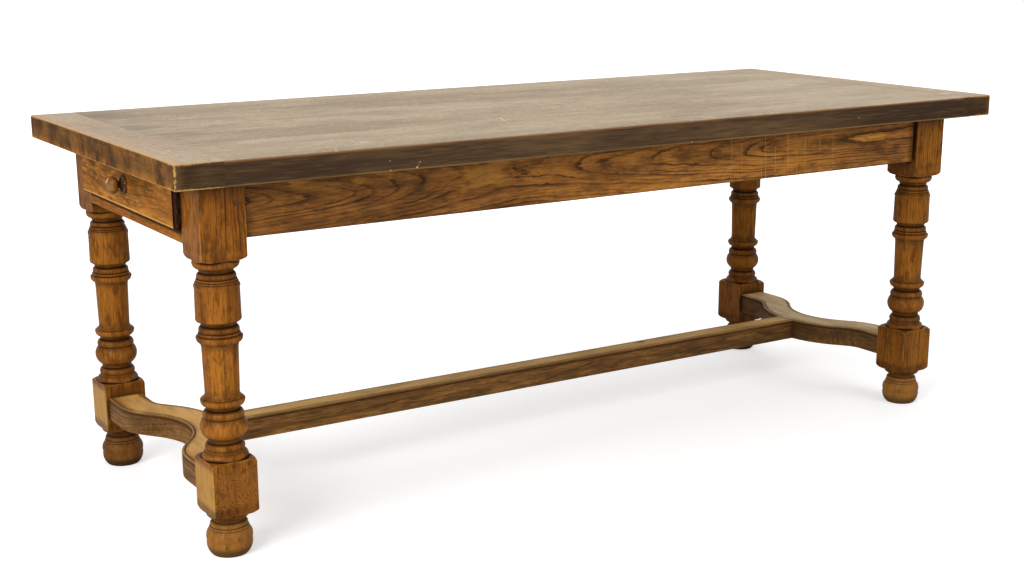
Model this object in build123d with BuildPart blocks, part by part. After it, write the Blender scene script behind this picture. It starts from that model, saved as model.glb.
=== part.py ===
from build123d import *
import os
from math import atan2, cos, degrees, radians, sin, sqrt

# An oak farmhouse table on four turned legs, tied at the floor by two bowed end stretchers and a long one,
# with a drawer in one end. X runs along the table, Y across it and Z up, and the origin lies on the floor
# under the middle of the top. The drawer is at the -X end and the front long side is at -Y. Millimetres.

# Whole table
table_length = 2000.0
table_width = 848.0
table_height = 760.0
end_overhang = 68.0
side_overhang = 76.0
overrun = 5.0

# Top: six planks held by a breadboard at each end
top_thickness = 47.0
breadboard_width = 90.0
plank_width_shares = (0.208, 0.132, 0.264, 0.132, 0.141, 0.123)
tongue_thickness = 14.0
tongue_length = 24.0
tongue_gap = 0.2
tongue_end_gap = 2.0
top_arris_radius = 4.0
top_corner_radius = 5.0
underside_arris_radius = 2.0
seam_easing = 0.8

# Legs: square blocks with turned lengths between them
leg_square = 88.0
upper_block_height = 123.0
lower_block_bottom = 104.0
lower_block_height = 68.0
turning_radius = 42.0
block_reach_share = 0.75
shoulder_bulge_share = 0.3

# Turned length between the blocks. Each row gives how far down it lies, as a share of that length, its
# radius, as a share of the turning radius, and the bulge of the stretch below it, as a share of the
# stretch: plus swells, minus hollows and zero is straight.
column_shares = (
    # Ovolo and fillet under the upper block
    (0.053, 1.0, 0.0),
    (0.058, 0.99, 0.24),
    (0.097, 0.85, 0.0),
    (0.099, 0.785, 0.0),
    (0.111, 0.745, 0.0),
    # Neck bead and two fine fillets
    (0.113, 0.69, 0.27),
    (0.139, 0.845, 0.0),
    (0.1405, 0.825, 0.0),
    (0.143, 0.885, 0.12),
    (0.1505, 0.90, 0.0),
    (0.152, 0.88, 0.0),
    (0.154, 0.93, 0.12),
    (0.1595, 0.945, 0.0),
    (0.161, 0.925, 0.0),
    # Drum and its lower fillet
    (0.163, 0.955, 0.2),
    (0.182, 0.985, 0.0),
    (0.316, 1.0, 0.22),
    (0.333, 0.90, 0.0),
    (0.335, 0.83, 0.0),
    (0.348, 0.77, 0.0),
    # Bead, fillet and collar over the shaft
    (0.350, 0.70, 0.27),
    (0.378, 0.875, 0.0),
    (0.3795, 0.85, 0.0),
    (0.382, 0.905, 0.12),
    (0.391, 0.93, 0.0),
    (0.393, 0.905, 0.0),
    (0.396, 0.965, 0.25),
    (0.407, 1.02, 0.16),
    (0.4295, 0.845, 0.0),
    # Tapered shaft and its foot ring
    (0.431, 0.835, 0.0),
    (0.440, 0.83, 0.0),
    (0.4415, 0.812, 0.0),
    (0.659, 0.765, -0.10),
    (0.6775, 0.905, 0.0),
    (0.679, 0.885, 0.0),
    (0.682, 0.95, 0.22),
    (0.692, 0.98, 0.16),
    (0.7165, 0.80, 0.0),
    (0.718, 0.765, 0.0),
    (0.729, 0.735, 0.0),
    # Bead and ball
    (0.7315, 0.69, 0.27),
    (0.768, 0.885, 0.0),
    (0.7695, 0.865, 0.0),
    (0.772, 0.905, 0.214),
    (0.863, 0.79, 0.0),
    (0.865, 0.755, 0.0),
    (0.879, 0.735, 0.0),
    # Bead, groove and ring over the lower block
    (0.8815, 0.69, 0.25),
    (0.914, 0.865, 0.0),
    (0.9155, 0.845, 0.0),
    (0.925, 0.87, 0.0),
    (0.9275, 0.925, 0.15),
    (0.958, 1.02, shoulder_bulge_share),
)
# Turned length under the lower block, in the same terms, down to the floor
foot_shares = (
    # Ovolo and fillet
    (0.173, 1.0, 0.0),
    (0.186, 0.99, 0.22),
    (0.290, 0.80, 0.0),
    (0.297, 0.755, 0.0),
    (0.352, 0.725, 0.0),
    # Bead and fillet
    (0.360, 0.675, 0.27),
    (0.455, 0.835, 0.0),
    (0.461, 0.815, 0.0),
    (0.468, 0.87, 0.12),
    (0.500, 0.895, 0.0),
    (0.507, 0.87, 0.0),
    # Bun
    (0.515, 0.91, 0.14),
    (0.72, 1.015, 0.13),
    (1.0, 0.80, 0.0),
)

# Mortise and tenon joints
cheek_gap = 0.2
mortise_end_gap = 2.0

# Aprons under the two long sides and the plain end
apron_height = 109.0
apron_thickness = 25.0
apron_recess = 11.0
apron_tenon_thickness = 10.0
apron_tenon_length = 40.0
apron_tenon_foot = 12.0
apron_tenon_haunch = 22.0
apron_arris_radius = 1.5

# Pegs through the tenons of the long aprons
peg_diameter = 9.0
peg_length = 44.0
peg_inset = 16.0
peg_drop = 43.0
peg_proud = 0.6
peg_gap = 0.1

# Rail under the drawer, with a scratched bead along its upper arris
rail_height = 24.0
rail_depth = 70.0
rail_bottom_gap = 0.5
rail_tenon_thickness = 10.0
rail_tenon_width = 50.0
rail_tenon_length = 30.0
rail_bead_radius = 1.8

# Stretchers
stretcher_bottom = 114.0
stretcher_height = 48.5
end_stretcher_width = 74.0
end_stretcher_straight = 65.0
end_stretcher_bow = 76.5
bow_turn_share = 0.88
leg_bend_share = 0.326
long_stretcher_width = 55.0
stretcher_bead_radius = 3.2
stretcher_quirk_width = 1.6
long_stretcher_bead_drop = 0.3  # keeps its beads' crests apart from those they meet
stretcher_seat_proud = 1.5
stretcher_arris_radius = 1.2
end_tenon_width = 50.0
end_tenon_height = 35.0
end_tenon_length = 40.0
long_tenon_width = 20.0
long_tenon_height = 32.0
long_tenon_length = 42.0

# Drawer, standing a little way out of its closed place
drawer_length = 460.0
drawer_out = 15.0
drawer_gap = 1.5
drawer_foot_gap = 4.0
slide_gap = 0.3
drawer_front_thickness = 22.0
drawer_side_thickness = 12.0
drawer_back_thickness = 14.0
drawer_side_drop = 4.0
drawer_back_drop = 13.0
drawer_bottom_thickness = 8.0
drawer_bottom_rise = 10.0
drawer_groove_depth = 6.0
front_lap = 7.0
front_arris_radius = 1.2
tail_count = 3
tail_margin = 3.5
tail_tip_share = 0.7
tail_root_share = 0.52

# Knob and its rosette
knob_diameter = 34.0
knob_reach = 34.5
knob_rim_radius = 9.0
knob_dome_rise = 3.0
knob_rim_end_angle = 150.0
knob_neck_radius = 6.0
knob_base_radius = 7.5
spigot_radius = 5.0
spigot_depth = 18.0
rosette_diameter = 35.0
rosette_thickness = 4.5
rosette_edge = 1.6
rosette_floor = 2.4
rosette_ring_width = 5.0

# Runners, guides and stops of the drawer
runner_thickness = 9.5
runner_ledge = 20.0
runner_past_stop = 20.0
guide_height = 45.0
stop_length = 20.0
stop_height = 15.0
stop_width = 18.0

# Buttons that hold the top down, and their screws
button_length = 34.0
button_width = 26.0
button_thickness = 20.0
button_tongue_length = 8.0
button_tongue_thickness = 9.0
button_slot_length = 40.0
button_slot_depth = 10.0
button_slot_spare = 3.0
long_button_place_shares = (-0.9, -0.3, 0.3, 0.9)
end_button_place_shares = (-0.58, 0.58)
screw_shank_radius = 2.2
screw_head_radius = 4.5
screw_length = 42.0
screw_slot_width = 1.2
screw_slot_depth = 1.2
screw_gap = 0.15

# Places worked out from the sizes above
underside = table_height - top_thickness
leg_outer_x = table_length / 2 - end_overhang
leg_outer_y = table_width / 2 - side_overhang
leg_x = leg_outer_x - leg_square / 2
leg_y = leg_outer_y - leg_square / 2
leg_inner_x = leg_outer_x - leg_square
leg_inner_y = leg_outer_y - leg_square
column_top = underside - upper_block_height
column_bottom = lower_block_bottom + lower_block_height
apron_bottom = underside - apron_height
apron_outer_y = leg_outer_y - apron_recess
apron_inner_y = apron_outer_y - apron_thickness
end_apron_outer_x = leg_outer_x - apron_recess
end_apron_inner_x = end_apron_outer_x - apron_thickness
rail_bottom = column_top + rail_bottom_gap
rail_top = rail_bottom + rail_height
stretcher_middle = stretcher_bottom + stretcher_height / 2
bow_inner_x = leg_x - end_stretcher_bow - end_stretcher_width / 2
stretcher_seat_x = bow_inner_x - stretcher_seat_proud
plank_end_x = table_length / 2 - breadboard_width
front_face_x = -leg_outer_x - drawer_out
front_back_x = front_face_x + drawer_front_thickness
drawer_end_x = front_face_x + drawer_length
drawer_half_width = leg_inner_y - drawer_gap
front_bottom = rail_top + drawer_foot_gap
front_top = underside - drawer_gap
side_bottom = rail_top + slide_gap
side_top = underside - drawer_side_drop
back_top = underside - drawer_back_drop
panel_bottom = side_bottom + drawer_bottom_rise
panel_top = panel_bottom + drawer_bottom_thickness
drawer_back_x = drawer_end_x - drawer_back_thickness
runner_front_x = -leg_outer_x + rail_depth
stop_x = drawer_end_x + drawer_out + slide_gap
runner_end_x = stop_x + runner_past_stop
knob_z = (front_bottom + front_top) / 2
button_bottom = underside - button_thickness

# Spare room of a mortise round its tenon, for tenons that run along X and along Y
mortise_spare_along_x = (mortise_end_gap, cheek_gap, cheek_gap)
mortise_spare_along_y = (cheek_gap, mortise_end_gap, cheek_gap)


def slab(corner, opposite, mode=Mode.ADD, spare=(0, 0, 0)):
    """A square-edged block between two opposite corners, with spare length added at both of its ends."""
    centre = [(a + b) / 2 for a, b in zip(corner, opposite)]
    sizes = [abs(b - a) + 2 * extra for a, b, extra in zip(corner, opposite, spare)]
    with Locations(tuple(centre)):
        Box(*sizes, mode=mode)


def finish(part, name):
    """Label a finished piece and write it to its own file."""
    part.label = name
    export_step(part, f"parts/{name}.step")


def side_name(side):
    """The front long side is at -Y."""
    return "back" if side > 0 else "front"


def end_name(end):
    """The drawer is at the left end, at -X."""
    return "right" if end > 0 else "left"


# Tenons, each as two opposite corners, so that the tenon and its mortise share their sizes
def apron_tenon(end, side):
    middle_y = apron_outer_y - apron_thickness / 2
    return (
        (end * leg_inner_x, side * (middle_y - apron_tenon_thickness / 2), apron_bottom + apron_tenon_foot),
        (
            end * (leg_inner_x + apron_tenon_length),
            side * (middle_y + apron_tenon_thickness / 2),
            underside - apron_tenon_haunch,
        ),
    )


def end_apron_tenon(side):
    middle_x = end_apron_outer_x - apron_thickness / 2
    return (
        (middle_x - apron_tenon_thickness / 2, side * leg_inner_y, apron_bottom + apron_tenon_foot),
        (
            middle_x + apron_tenon_thickness / 2,
            side * (leg_inner_y + apron_tenon_length),
            underside - apron_tenon_haunch,
        ),
    )


def rail_tenon(side):
    middle_x = -leg_outer_x + rail_depth / 2
    middle_z = (rail_bottom + rail_top) / 2
    return (
        (middle_x - rail_tenon_width / 2, side * leg_inner_y, middle_z - rail_tenon_thickness / 2),
        (
            middle_x + rail_tenon_width / 2,
            side * (leg_inner_y + rail_tenon_length),
            middle_z + rail_tenon_thickness / 2,
        ),
    )


def end_stretcher_tenon(end, side):
    return (
        (end * leg_x - end_tenon_width / 2, side * leg_inner_y, stretcher_middle - end_tenon_height / 2),
        (
            end * leg_x + end_tenon_width / 2,
            side * (leg_inner_y + end_tenon_length),
            stretcher_middle + end_tenon_height / 2,
        ),
    )


def long_stretcher_tenon(end):
    return (
        (end * stretcher_seat_x, -long_tenon_width / 2, stretcher_middle - long_tenon_height / 2),
        (
            end * (stretcher_seat_x + long_tenon_length),
            long_tenon_width / 2,
            stretcher_middle + long_tenon_height / 2,
        ),
    )


# Legs
def turned_points(member_shares, top, bottom):
    """Radius, height and bulge of each member of a turned length between two heights."""
    length = top - bottom
    return [(turning_radius * radius, top - length * drop, bulge) for drop, radius, bulge in member_shares]


def leg_outline():
    """The turned profile from the top down, standing past the corners of the square where a block is."""
    reach = leg_square * block_reach_share
    outline = [(reach, underside + overrun, 0), (reach, column_top, shoulder_bulge_share)]
    outline += turned_points(column_shares, column_top, column_bottom)
    outline += [(reach, column_bottom, 0), (reach, lower_block_bottom, shoulder_bulge_share)]
    outline += turned_points(foot_shares, lower_block_bottom, 0)
    return outline


def draw_outline(outline):
    """Straight and bulged stretches between the points, closed along the turning axis."""
    for (radius, height, bulge), (next_radius, next_height, _) in zip(outline, outline[1:]):
        start = (radius, height)
        end = (next_radius, next_height)
        if bulge:
            chord = sqrt((next_radius - radius) ** 2 + (next_height - height) ** 2)
            SagittaArc(start, end, bulge * chord)
        else:
            Line(start, end)
    Polyline(outline[-1][:2], (0, outline[-1][1]), (0, outline[0][1]), outline[0][:2])


def peg_place(end, side):
    """Centre of a peg on the outer face of a leg."""
    return (end * (leg_inner_x + peg_inset), side * leg_outer_y, underside - peg_drop)


def make_leg(end, side):
    centre = (end * leg_x, side * leg_y, 0)
    peg_x, peg_y, peg_z = peg_place(end, side)
    with BuildPart() as leg:
        slab(
            (centre[0] - leg_square / 2, centre[1] - leg_square / 2, 0),
            (centre[0] + leg_square / 2, centre[1] + leg_square / 2, underside),
        )
        with BuildSketch(Plane(origin=centre, x_dir=(1, 0, 0), z_dir=(0, -1, 0))):
            with BuildLine():
                draw_outline(leg_outline())
            make_face()
        revolve(axis=Axis(centre, (0, 0, 1)), mode=Mode.INTERSECT)
        slab(*apron_tenon(end, side), Mode.SUBTRACT, mortise_spare_along_x)
        slab(*end_stretcher_tenon(end, side), Mode.SUBTRACT, mortise_spare_along_y)
        if end > 0:
            slab(*end_apron_tenon(side), Mode.SUBTRACT, mortise_spare_along_y)
        else:
            slab(*rail_tenon(side), Mode.SUBTRACT, mortise_spare_along_y)
        with BuildSketch(Plane(origin=(peg_x, peg_y, peg_z), z_dir=(0, -side, 0))):
            Circle(peg_diameter / 2 + peg_gap)
        extrude(amount=peg_length - peg_proud + mortise_end_gap, mode=Mode.SUBTRACT)
    return leg.part


for leg_end in (-1, 1):
    for leg_side in (-1, 1):
        finish(make_leg(leg_end, leg_side), f"{side_name(leg_side)}_{end_name(leg_end)}_leg")


# Aprons
def long_button_places():
    """Where the buttons lie along a long apron."""
    return [share * leg_inner_x for share in long_button_place_shares]


def end_button_places():
    """Where the buttons lie along the end apron."""
    return [share * leg_inner_y for share in end_button_place_shares]


slot_top = button_bottom + button_tongue_thickness
slot_bottom = button_bottom - button_slot_spare

for apron_side in (-1, 1):
    with BuildPart() as long_apron:
        slab(
            (-leg_inner_x, apron_side * apron_inner_y, apron_bottom),
            (leg_inner_x, apron_side * apron_outer_y, underside),
        )
        fillet(
            long_apron.edges().filter_by(Axis.X).group_by(Axis.Z)[0],
            radius=apron_arris_radius,
        )
        for apron_end in (-1, 1):
            slab(*apron_tenon(apron_end, apron_side))
            hole_x, hole_y, hole_z = peg_place(apron_end, apron_side)
            with BuildSketch(Plane(origin=(hole_x, hole_y, hole_z), z_dir=(0, -apron_side, 0))):
                Circle(peg_diameter / 2 + peg_gap)
            extrude(amount=peg_length, mode=Mode.SUBTRACT)
        for slot_x in long_button_places():
            slab(
                (slot_x - button_slot_length / 2, apron_side * apron_inner_y, slot_bottom),
                (
                    slot_x + button_slot_length / 2,
                    apron_side * (apron_inner_y + button_slot_depth),
                    slot_top,
                ),
                Mode.SUBTRACT,
            )
    finish(long_apron.part, f"{side_name(apron_side)}_apron")

with BuildPart() as right_end_apron:
    slab(
        (end_apron_inner_x, -leg_inner_y, apron_bottom),
        (end_apron_outer_x, leg_inner_y, underside),
    )
    fillet(
        right_end_apron.edges().filter_by(Axis.Y).group_by(Axis.Z)[0],
        radius=apron_arris_radius,
    )
    for tenon_side in (-1, 1):
        slab(*end_apron_tenon(tenon_side))
    for slot_y in end_button_places():
        slab(
            (end_apron_inner_x, slot_y - button_slot_length / 2, slot_bottom),
            (end_apron_inner_x + button_slot_depth, slot_y + button_slot_length / 2, slot_top),
            Mode.SUBTRACT,
        )
finish(right_end_apron.part, "right_end_apron")

# Pegs through the long aprons' tenons, with a rounded outer end
with BuildPart() as apron_pegs:
    for peg_end in (-1, 1):
        for peg_side in (-1, 1):
            head_x, head_y, head_z = peg_place(peg_end, peg_side)
            outer_y = head_y + peg_side * peg_proud
            with BuildSketch(Plane(origin=(head_x, outer_y, head_z), z_dir=(0, -peg_side, 0))):
                Circle(peg_diameter / 2)
            extrude(amount=peg_length)
    chamfer(
        apron_pegs.faces().filter_by(Axis.Y).group_by(Axis.Y)[0].edges()
        + apron_pegs.faces().filter_by(Axis.Y).group_by(Axis.Y)[-1].edges(),
        length=peg_proud,
    )
finish(apron_pegs.part, "apron_pegs")


# Drawer rail
with BuildPart() as drawer_rail:
    bead_x = -leg_outer_x + rail_bead_radius
    bead_z = rail_top - rail_bead_radius
    quirk_z = bead_z - rail_bead_radius
    with BuildSketch(Plane(origin=(0, leg_inner_y, 0), x_dir=(1, 0, 0), z_dir=(0, -1, 0))):
        with BuildLine():
            ThreePointArc(
                (bead_x, rail_top),
                (-leg_outer_x, bead_z),
                (bead_x, quirk_z),
            )
            Polyline(
                (bead_x, quirk_z),
                (-leg_outer_x, quirk_z),
                (-leg_outer_x, rail_bottom),
                (runner_front_x, rail_bottom),
                (runner_front_x, rail_top),
                (bead_x, rail_top),
            )
        make_face()
    extrude(amount=2 * leg_inner_y)
    for tenon_side in (-1, 1):
        slab(*rail_tenon(tenon_side))
finish(drawer_rail.part, "drawer_rail")


# Stretchers
def draw_beaded_section(width, lowered):
    """Section of a stretcher on the sketch's X axis, with a bead between two quirks along each upper arris."""
    half = width / 2
    centre_z = stretcher_height - stretcher_bead_radius - lowered
    bead_slant = stretcher_bead_radius * sin(radians(45))
    quirk_mouth = 2 * stretcher_bead_radius + stretcher_quirk_width
    for hand in (-1, 1):
        centre_x = hand * (half - stretcher_bead_radius)
        Polyline(
            (0, 0),
            (hand * (half - stretcher_arris_radius), 0),
            (hand * half, stretcher_arris_radius),
            (hand * half, stretcher_height - quirk_mouth),
            (centre_x, centre_z - stretcher_bead_radius),
        )
        ThreePointArc(
            (centre_x, centre_z - stretcher_bead_radius),
            (centre_x + hand * bead_slant, centre_z + bead_slant),
            (centre_x - hand * stretcher_bead_radius, centre_z),
        )
        Polyline(
            (centre_x - hand * stretcher_bead_radius, centre_z),
            (hand * (half - quirk_mouth), stretcher_height),
            (0, stretcher_height),
        )


# Plan of an end stretcher: straight out of the leg, round the leg bend, across, and round the bow
bend_y = leg_inner_y - end_stretcher_straight
bow_turn = 2 * bow_turn_share * degrees(atan2(end_stretcher_bow, bend_y))
turn_sine = sin(radians(bow_turn))
turn_cosine = cos(radians(bow_turn))
bend_radii_sum = (bend_y * turn_sine - end_stretcher_bow * turn_cosine) / (1 - turn_cosine)
cross_run = (end_stretcher_bow * turn_sine - bend_y * (1 - turn_cosine)) / (1 - turn_cosine)
leg_bend_radius = bend_radii_sum * leg_bend_share
bow_radius = bend_radii_sum - leg_bend_radius
leg_bend_x = leg_x - leg_bend_radius
bow_centre_x = leg_x - end_stretcher_bow + bow_radius


def end_stretcher_runs(end):
    """Straight runs of the plan path from the front leg to the back one: start, heading and length."""
    bend_end = (leg_bend_x + leg_bend_radius * turn_cosine, bend_y - leg_bend_radius * turn_sine)
    bow_end = (bow_centre_x - bow_radius * turn_cosine, bow_radius * turn_sine)
    return (
        ((end * leg_x, -leg_inner_y), 0, end_stretcher_straight),
        ((end * bend_end[0], -bend_end[1]), bow_turn, cross_run),
        ((end * bow_end[0], bow_end[1]), -bow_turn, cross_run),
        ((end * leg_x, bend_y), 0, end_stretcher_straight),
    )


def end_stretcher_bends(end):
    """Bends between those runs: start, heading, centre and turn, where plus turns into the table."""
    _, second, third, _ = end_stretcher_runs(end)
    bow_start = (third[0][0], -third[0][1])
    second_end = (second[0][0], -second[0][1])
    return (
        ((end * leg_x, -bend_y), 0, (end * leg_bend_x, -bend_y), bow_turn),
        (bow_start, bow_turn, (end * bow_centre_x, 0), -2 * bow_turn),
        (second_end, -bow_turn, (end * leg_bend_x, bend_y), bow_turn),
    )


def path_plane(end, start, heading):
    """Upright plane across the plan path, facing along it."""
    along_x = -end * sin(radians(heading))
    along_y = cos(radians(heading))
    return Plane(
        origin=(*start, stretcher_bottom),
        x_dir=(-along_y, along_x, 0),
        z_dir=(along_x, along_y, 0),
    )


def make_end_stretcher(end):
    with BuildPart() as end_stretcher:
        for start, heading, run in end_stretcher_runs(end):
            with BuildSketch(path_plane(end, start, heading)):
                with BuildLine():
                    draw_beaded_section(end_stretcher_width, 0)
                make_face()
            extrude(amount=run)
        for start, heading, centre, turn in end_stretcher_bends(end):
            with BuildSketch(path_plane(end, start, heading)):
                with BuildLine():
                    draw_beaded_section(end_stretcher_width, 0)
                make_face()
            revolve(
                axis=Axis((*centre, stretcher_bottom), (0, 0, end if turn > 0 else -end)),
                revolution_arc=abs(turn),
            )
        with BuildSketch(
            Plane(
                origin=(end * stretcher_seat_x, 0, stretcher_bottom),
                x_dir=(0, end, 0),
                z_dir=(end, 0, 0),
            )
        ):
            with BuildLine():
                draw_beaded_section(long_stretcher_width, long_stretcher_bead_drop)
            make_face()
        extrude(amount=end_stretcher_width / 2)
        for side in (-1, 1):
            slab(*end_stretcher_tenon(end, side))
        slab(*long_stretcher_tenon(end), Mode.SUBTRACT, mortise_spare_along_x)
    return end_stretcher.part


for stretcher_end in (-1, 1):
    finish(make_end_stretcher(stretcher_end), f"{end_name(stretcher_end)}_end_stretcher")

with BuildPart() as long_stretcher:
    with BuildSketch(
        Plane(origin=(-stretcher_seat_x, 0, stretcher_bottom), x_dir=(0, 1, 0), z_dir=(1, 0, 0))
    ):
        with BuildLine():
            draw_beaded_section(long_stretcher_width, long_stretcher_bead_drop)
        make_face()
    extrude(amount=2 * stretcher_seat_x)
    for tenon_end in (-1, 1):
        slab(*long_stretcher_tenon(tenon_end))
finish(long_stretcher.part, "long_stretcher")


# Buttons and screws: each place is the screw's axis, with the direction from there to the apron
def button_places():
    offset = button_length / 2
    places = []
    for side in (-1, 1):
        for along in long_button_places():
            places.append((along, side * (apron_inner_y - offset), (0, side)))
    for along in end_button_places():
        places.append((end_apron_inner_x - offset, along, (1, 0)))
    return places


def button_corners(place, inward, outward, half_width, low, high):
    """Two corners of a block laid on the line from a button's screw to its apron."""
    x, y, (toward_x, toward_y) = place
    across_x = half_width * toward_y
    across_y = half_width * toward_x
    return (
        (x + inward * toward_x - across_x, y + inward * toward_y - across_y, low),
        (x + outward * toward_x + across_x, y + outward * toward_y + across_y, high),
    )


def cut_screw_holes():
    """Room for every screw, from the buttons' lower faces up."""
    for x, y, _ in button_places():
        with Locations((x, y, button_bottom)):
            Cylinder(
                screw_shank_radius + screw_gap,
                screw_length + screw_gap,
                align=(Align.CENTER, Align.CENTER, Align.MIN),
                mode=Mode.SUBTRACT,
            )


with BuildPart() as top_buttons:
    for button_place in button_places():
        slab(
            *button_corners(
                button_place,
                -button_length / 2,
                button_length / 2,
                button_width / 2,
                button_bottom,
                underside,
            )
        )
        slab(
            *button_corners(
                button_place,
                button_length / 2,
                button_length / 2 + button_tongue_length,
                button_width / 2,
                button_bottom,
                slot_top,
            )
        )
    cut_screw_holes()
    for screw_x, screw_y, _ in button_places():
        with Locations((screw_x, screw_y, button_bottom)):
            Cone(
                screw_head_radius + screw_gap,
                screw_shank_radius + screw_gap,
                screw_head_radius - screw_shank_radius,
                align=(Align.CENTER, Align.CENTER, Align.MIN),
                mode=Mode.SUBTRACT,
            )
finish(top_buttons.part, "top_buttons")

with BuildPart() as button_screws:
    for screw_x, screw_y, _ in button_places():
        with BuildSketch(Plane(origin=(screw_x, screw_y, button_bottom), x_dir=(1, 0, 0), z_dir=(0, -1, 0))):
            with BuildLine():
                Polyline(
                    (0, 0),
                    (screw_head_radius, 0),
                    (screw_shank_radius, screw_head_radius - screw_shank_radius),
                    (screw_shank_radius, screw_length - screw_shank_radius),
                    (0, screw_length),
                    close=True,
                )
            make_face()
        revolve(axis=Axis((screw_x, screw_y, 0), (0, 0, 1)))
        slab(
            (screw_x - screw_head_radius, screw_y - screw_slot_width / 2, button_bottom),
            (screw_x + screw_head_radius, screw_y + screw_slot_width / 2, button_bottom + screw_slot_depth),
            Mode.SUBTRACT,
        )
finish(button_screws.part, "button_screws")


# Top
tongue_bottom = underside + (top_thickness - tongue_thickness) / 2
tongue_top = tongue_bottom + tongue_thickness

plank_back_y = table_width / 2
for plank_number, width_share in enumerate(plank_width_shares, start=1):
    plank_front_y = plank_back_y - table_width * width_share
    with BuildPart() as plank:
        slab((-plank_end_x, plank_front_y, underside), (plank_end_x, plank_back_y, table_height))
        long_edges = plank.edges().filter_by(Axis.X)
        upper_edges = long_edges.group_by(Axis.Z)[-1].sort_by(Axis.Y)
        lower_edges = long_edges.group_by(Axis.Z)[0].sort_by(Axis.Y)
        if plank_number == 1:
            chamfer(upper_edges[0], length=seam_easing)
            fillet(upper_edges[-1], radius=top_arris_radius)
            fillet(lower_edges[-1], radius=underside_arris_radius)
        elif plank_number == len(plank_width_shares):
            chamfer(upper_edges[-1], length=seam_easing)
            fillet(upper_edges[0], radius=top_arris_radius)
            fillet(lower_edges[0], radius=underside_arris_radius)
        else:
            chamfer(upper_edges, length=seam_easing)
        for tongue_end in (-1, 1):
            slab(
                (tongue_end * plank_end_x, plank_front_y + top_arris_radius, tongue_bottom),
                (
                    tongue_end * (plank_end_x + tongue_length),
                    plank_back_y - top_arris_radius,
                    tongue_top,
                ),
            )
        cut_screw_holes()
    finish(plank.part, f"top_plank_{plank_number}")
    plank_back_y = plank_front_y

for board_end in (-1, 1):
    with BuildPart() as breadboard:
        slab(
            (board_end * plank_end_x, -table_width / 2, underside),
            (board_end * table_length / 2, table_width / 2, table_height),
        )
        outward = breadboard.faces().sort_by(Axis.X)[-1 if board_end > 0 else 0]
        fillet(outward.edges().filter_by(Axis.Z), radius=top_corner_radius)
        inner_edges = breadboard.edges().group_by(Axis.X)[0 if board_end > 0 else -1]
        for arris_level, arris_radius in ((-1, top_arris_radius), (0, underside_arris_radius)):
            arrises = breadboard.edges().group_by(Axis.Z)[arris_level]
            fillet([edge for edge in arrises if edge not in inner_edges], radius=arris_radius)
        slab(
            (board_end * plank_end_x, -table_width / 2 + top_arris_radius, tongue_bottom),
            (board_end * (plank_end_x + tongue_length), table_width / 2 - top_arris_radius, tongue_top),
            Mode.SUBTRACT,
            (tongue_end_gap, tongue_gap, tongue_gap),
        )
        cut_screw_holes()
    finish(breadboard.part, f"{end_name(board_end)}_breadboard_end")


# Drawer
front_tails = (front_back_x, front_face_x + front_lap, front_bottom + tail_margin, side_top - tail_margin)
back_tails = (drawer_back_x, drawer_end_x, panel_top + tail_margin, back_top - tail_margin)


def side_plane(side, spare=0):
    """Plane of a drawer side's face towards the back of the table, facing the front."""
    faces_y = (side * (drawer_half_width + spare), side * (drawer_half_width - drawer_side_thickness - spare))
    return Plane(origin=(0, max(faces_y), 0), x_dir=(1, 0, 0), z_dir=(0, -1, 0))


def draw_tails(place, spare=0):
    """Outlines of the dovetails of a drawer side, widening from their root to their tip."""
    root_x, tip_x, low, high = place
    pitch = (high - low) / tail_count
    root_half = pitch * tail_root_share / 2 + spare
    tip_half = pitch * tail_tip_share / 2 + spare
    end_x = tip_x + spare if tip_x > root_x else tip_x - spare
    for index in range(tail_count):
        middle = low + pitch * (index + 1 / 2)
        Polygon(
            (root_x, middle - root_half),
            (end_x, middle - tip_half),
            (end_x, middle + tip_half),
            (root_x, middle + root_half),
            align=None,
        )


def cut_panel_groove(x_from, x_to, half_width):
    """Groove for the drawer's bottom panel in whatever piece is being made."""
    slab(
        (x_from, -half_width, panel_bottom),
        (x_to, half_width, panel_top),
        Mode.SUBTRACT,
        (cheek_gap, cheek_gap, cheek_gap),
    )


panel_half_width = drawer_half_width - drawer_side_thickness + drawer_groove_depth
panel_front_x = front_back_x - drawer_groove_depth

with BuildPart() as drawer_front:
    slab(
        (front_face_x, -drawer_half_width, front_bottom),
        (front_back_x, drawer_half_width, front_top),
    )
    fillet(drawer_front.faces().sort_by(Axis.X)[0].edges(), radius=front_arris_radius)
    for joint_side in (-1, 1):
        with BuildSketch(side_plane(joint_side, cheek_gap)):
            draw_tails(front_tails, cheek_gap)
        extrude(amount=drawer_side_thickness + 2 * cheek_gap, mode=Mode.SUBTRACT)
    cut_panel_groove(panel_front_x, front_back_x, panel_half_width)
    with BuildSketch(Plane(origin=(front_face_x, 0, knob_z), z_dir=(1, 0, 0))):
        Circle(spigot_radius + cheek_gap)
    extrude(amount=spigot_depth + cheek_gap, mode=Mode.SUBTRACT)
finish(drawer_front.part, "drawer_front")

for drawer_hand in (-1, 1):
    with BuildPart() as drawer_side:
        slab(
            (front_back_x, drawer_hand * drawer_half_width, side_bottom),
            (drawer_back_x, drawer_hand * (drawer_half_width - drawer_side_thickness), side_top),
        )
        slab(
            (drawer_back_x, drawer_hand * drawer_half_width, side_bottom),
            (
                drawer_end_x,
                drawer_hand * (drawer_half_width - drawer_side_thickness),
                panel_top,
            ),
        )
        for tails in (front_tails, back_tails):
            with BuildSketch(side_plane(drawer_hand)):
                draw_tails(tails)
            extrude(amount=drawer_side_thickness)
        cut_panel_groove(front_face_x, drawer_end_x, panel_half_width)
    finish(drawer_side.part, f"drawer_{side_name(drawer_hand)}_side")

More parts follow.
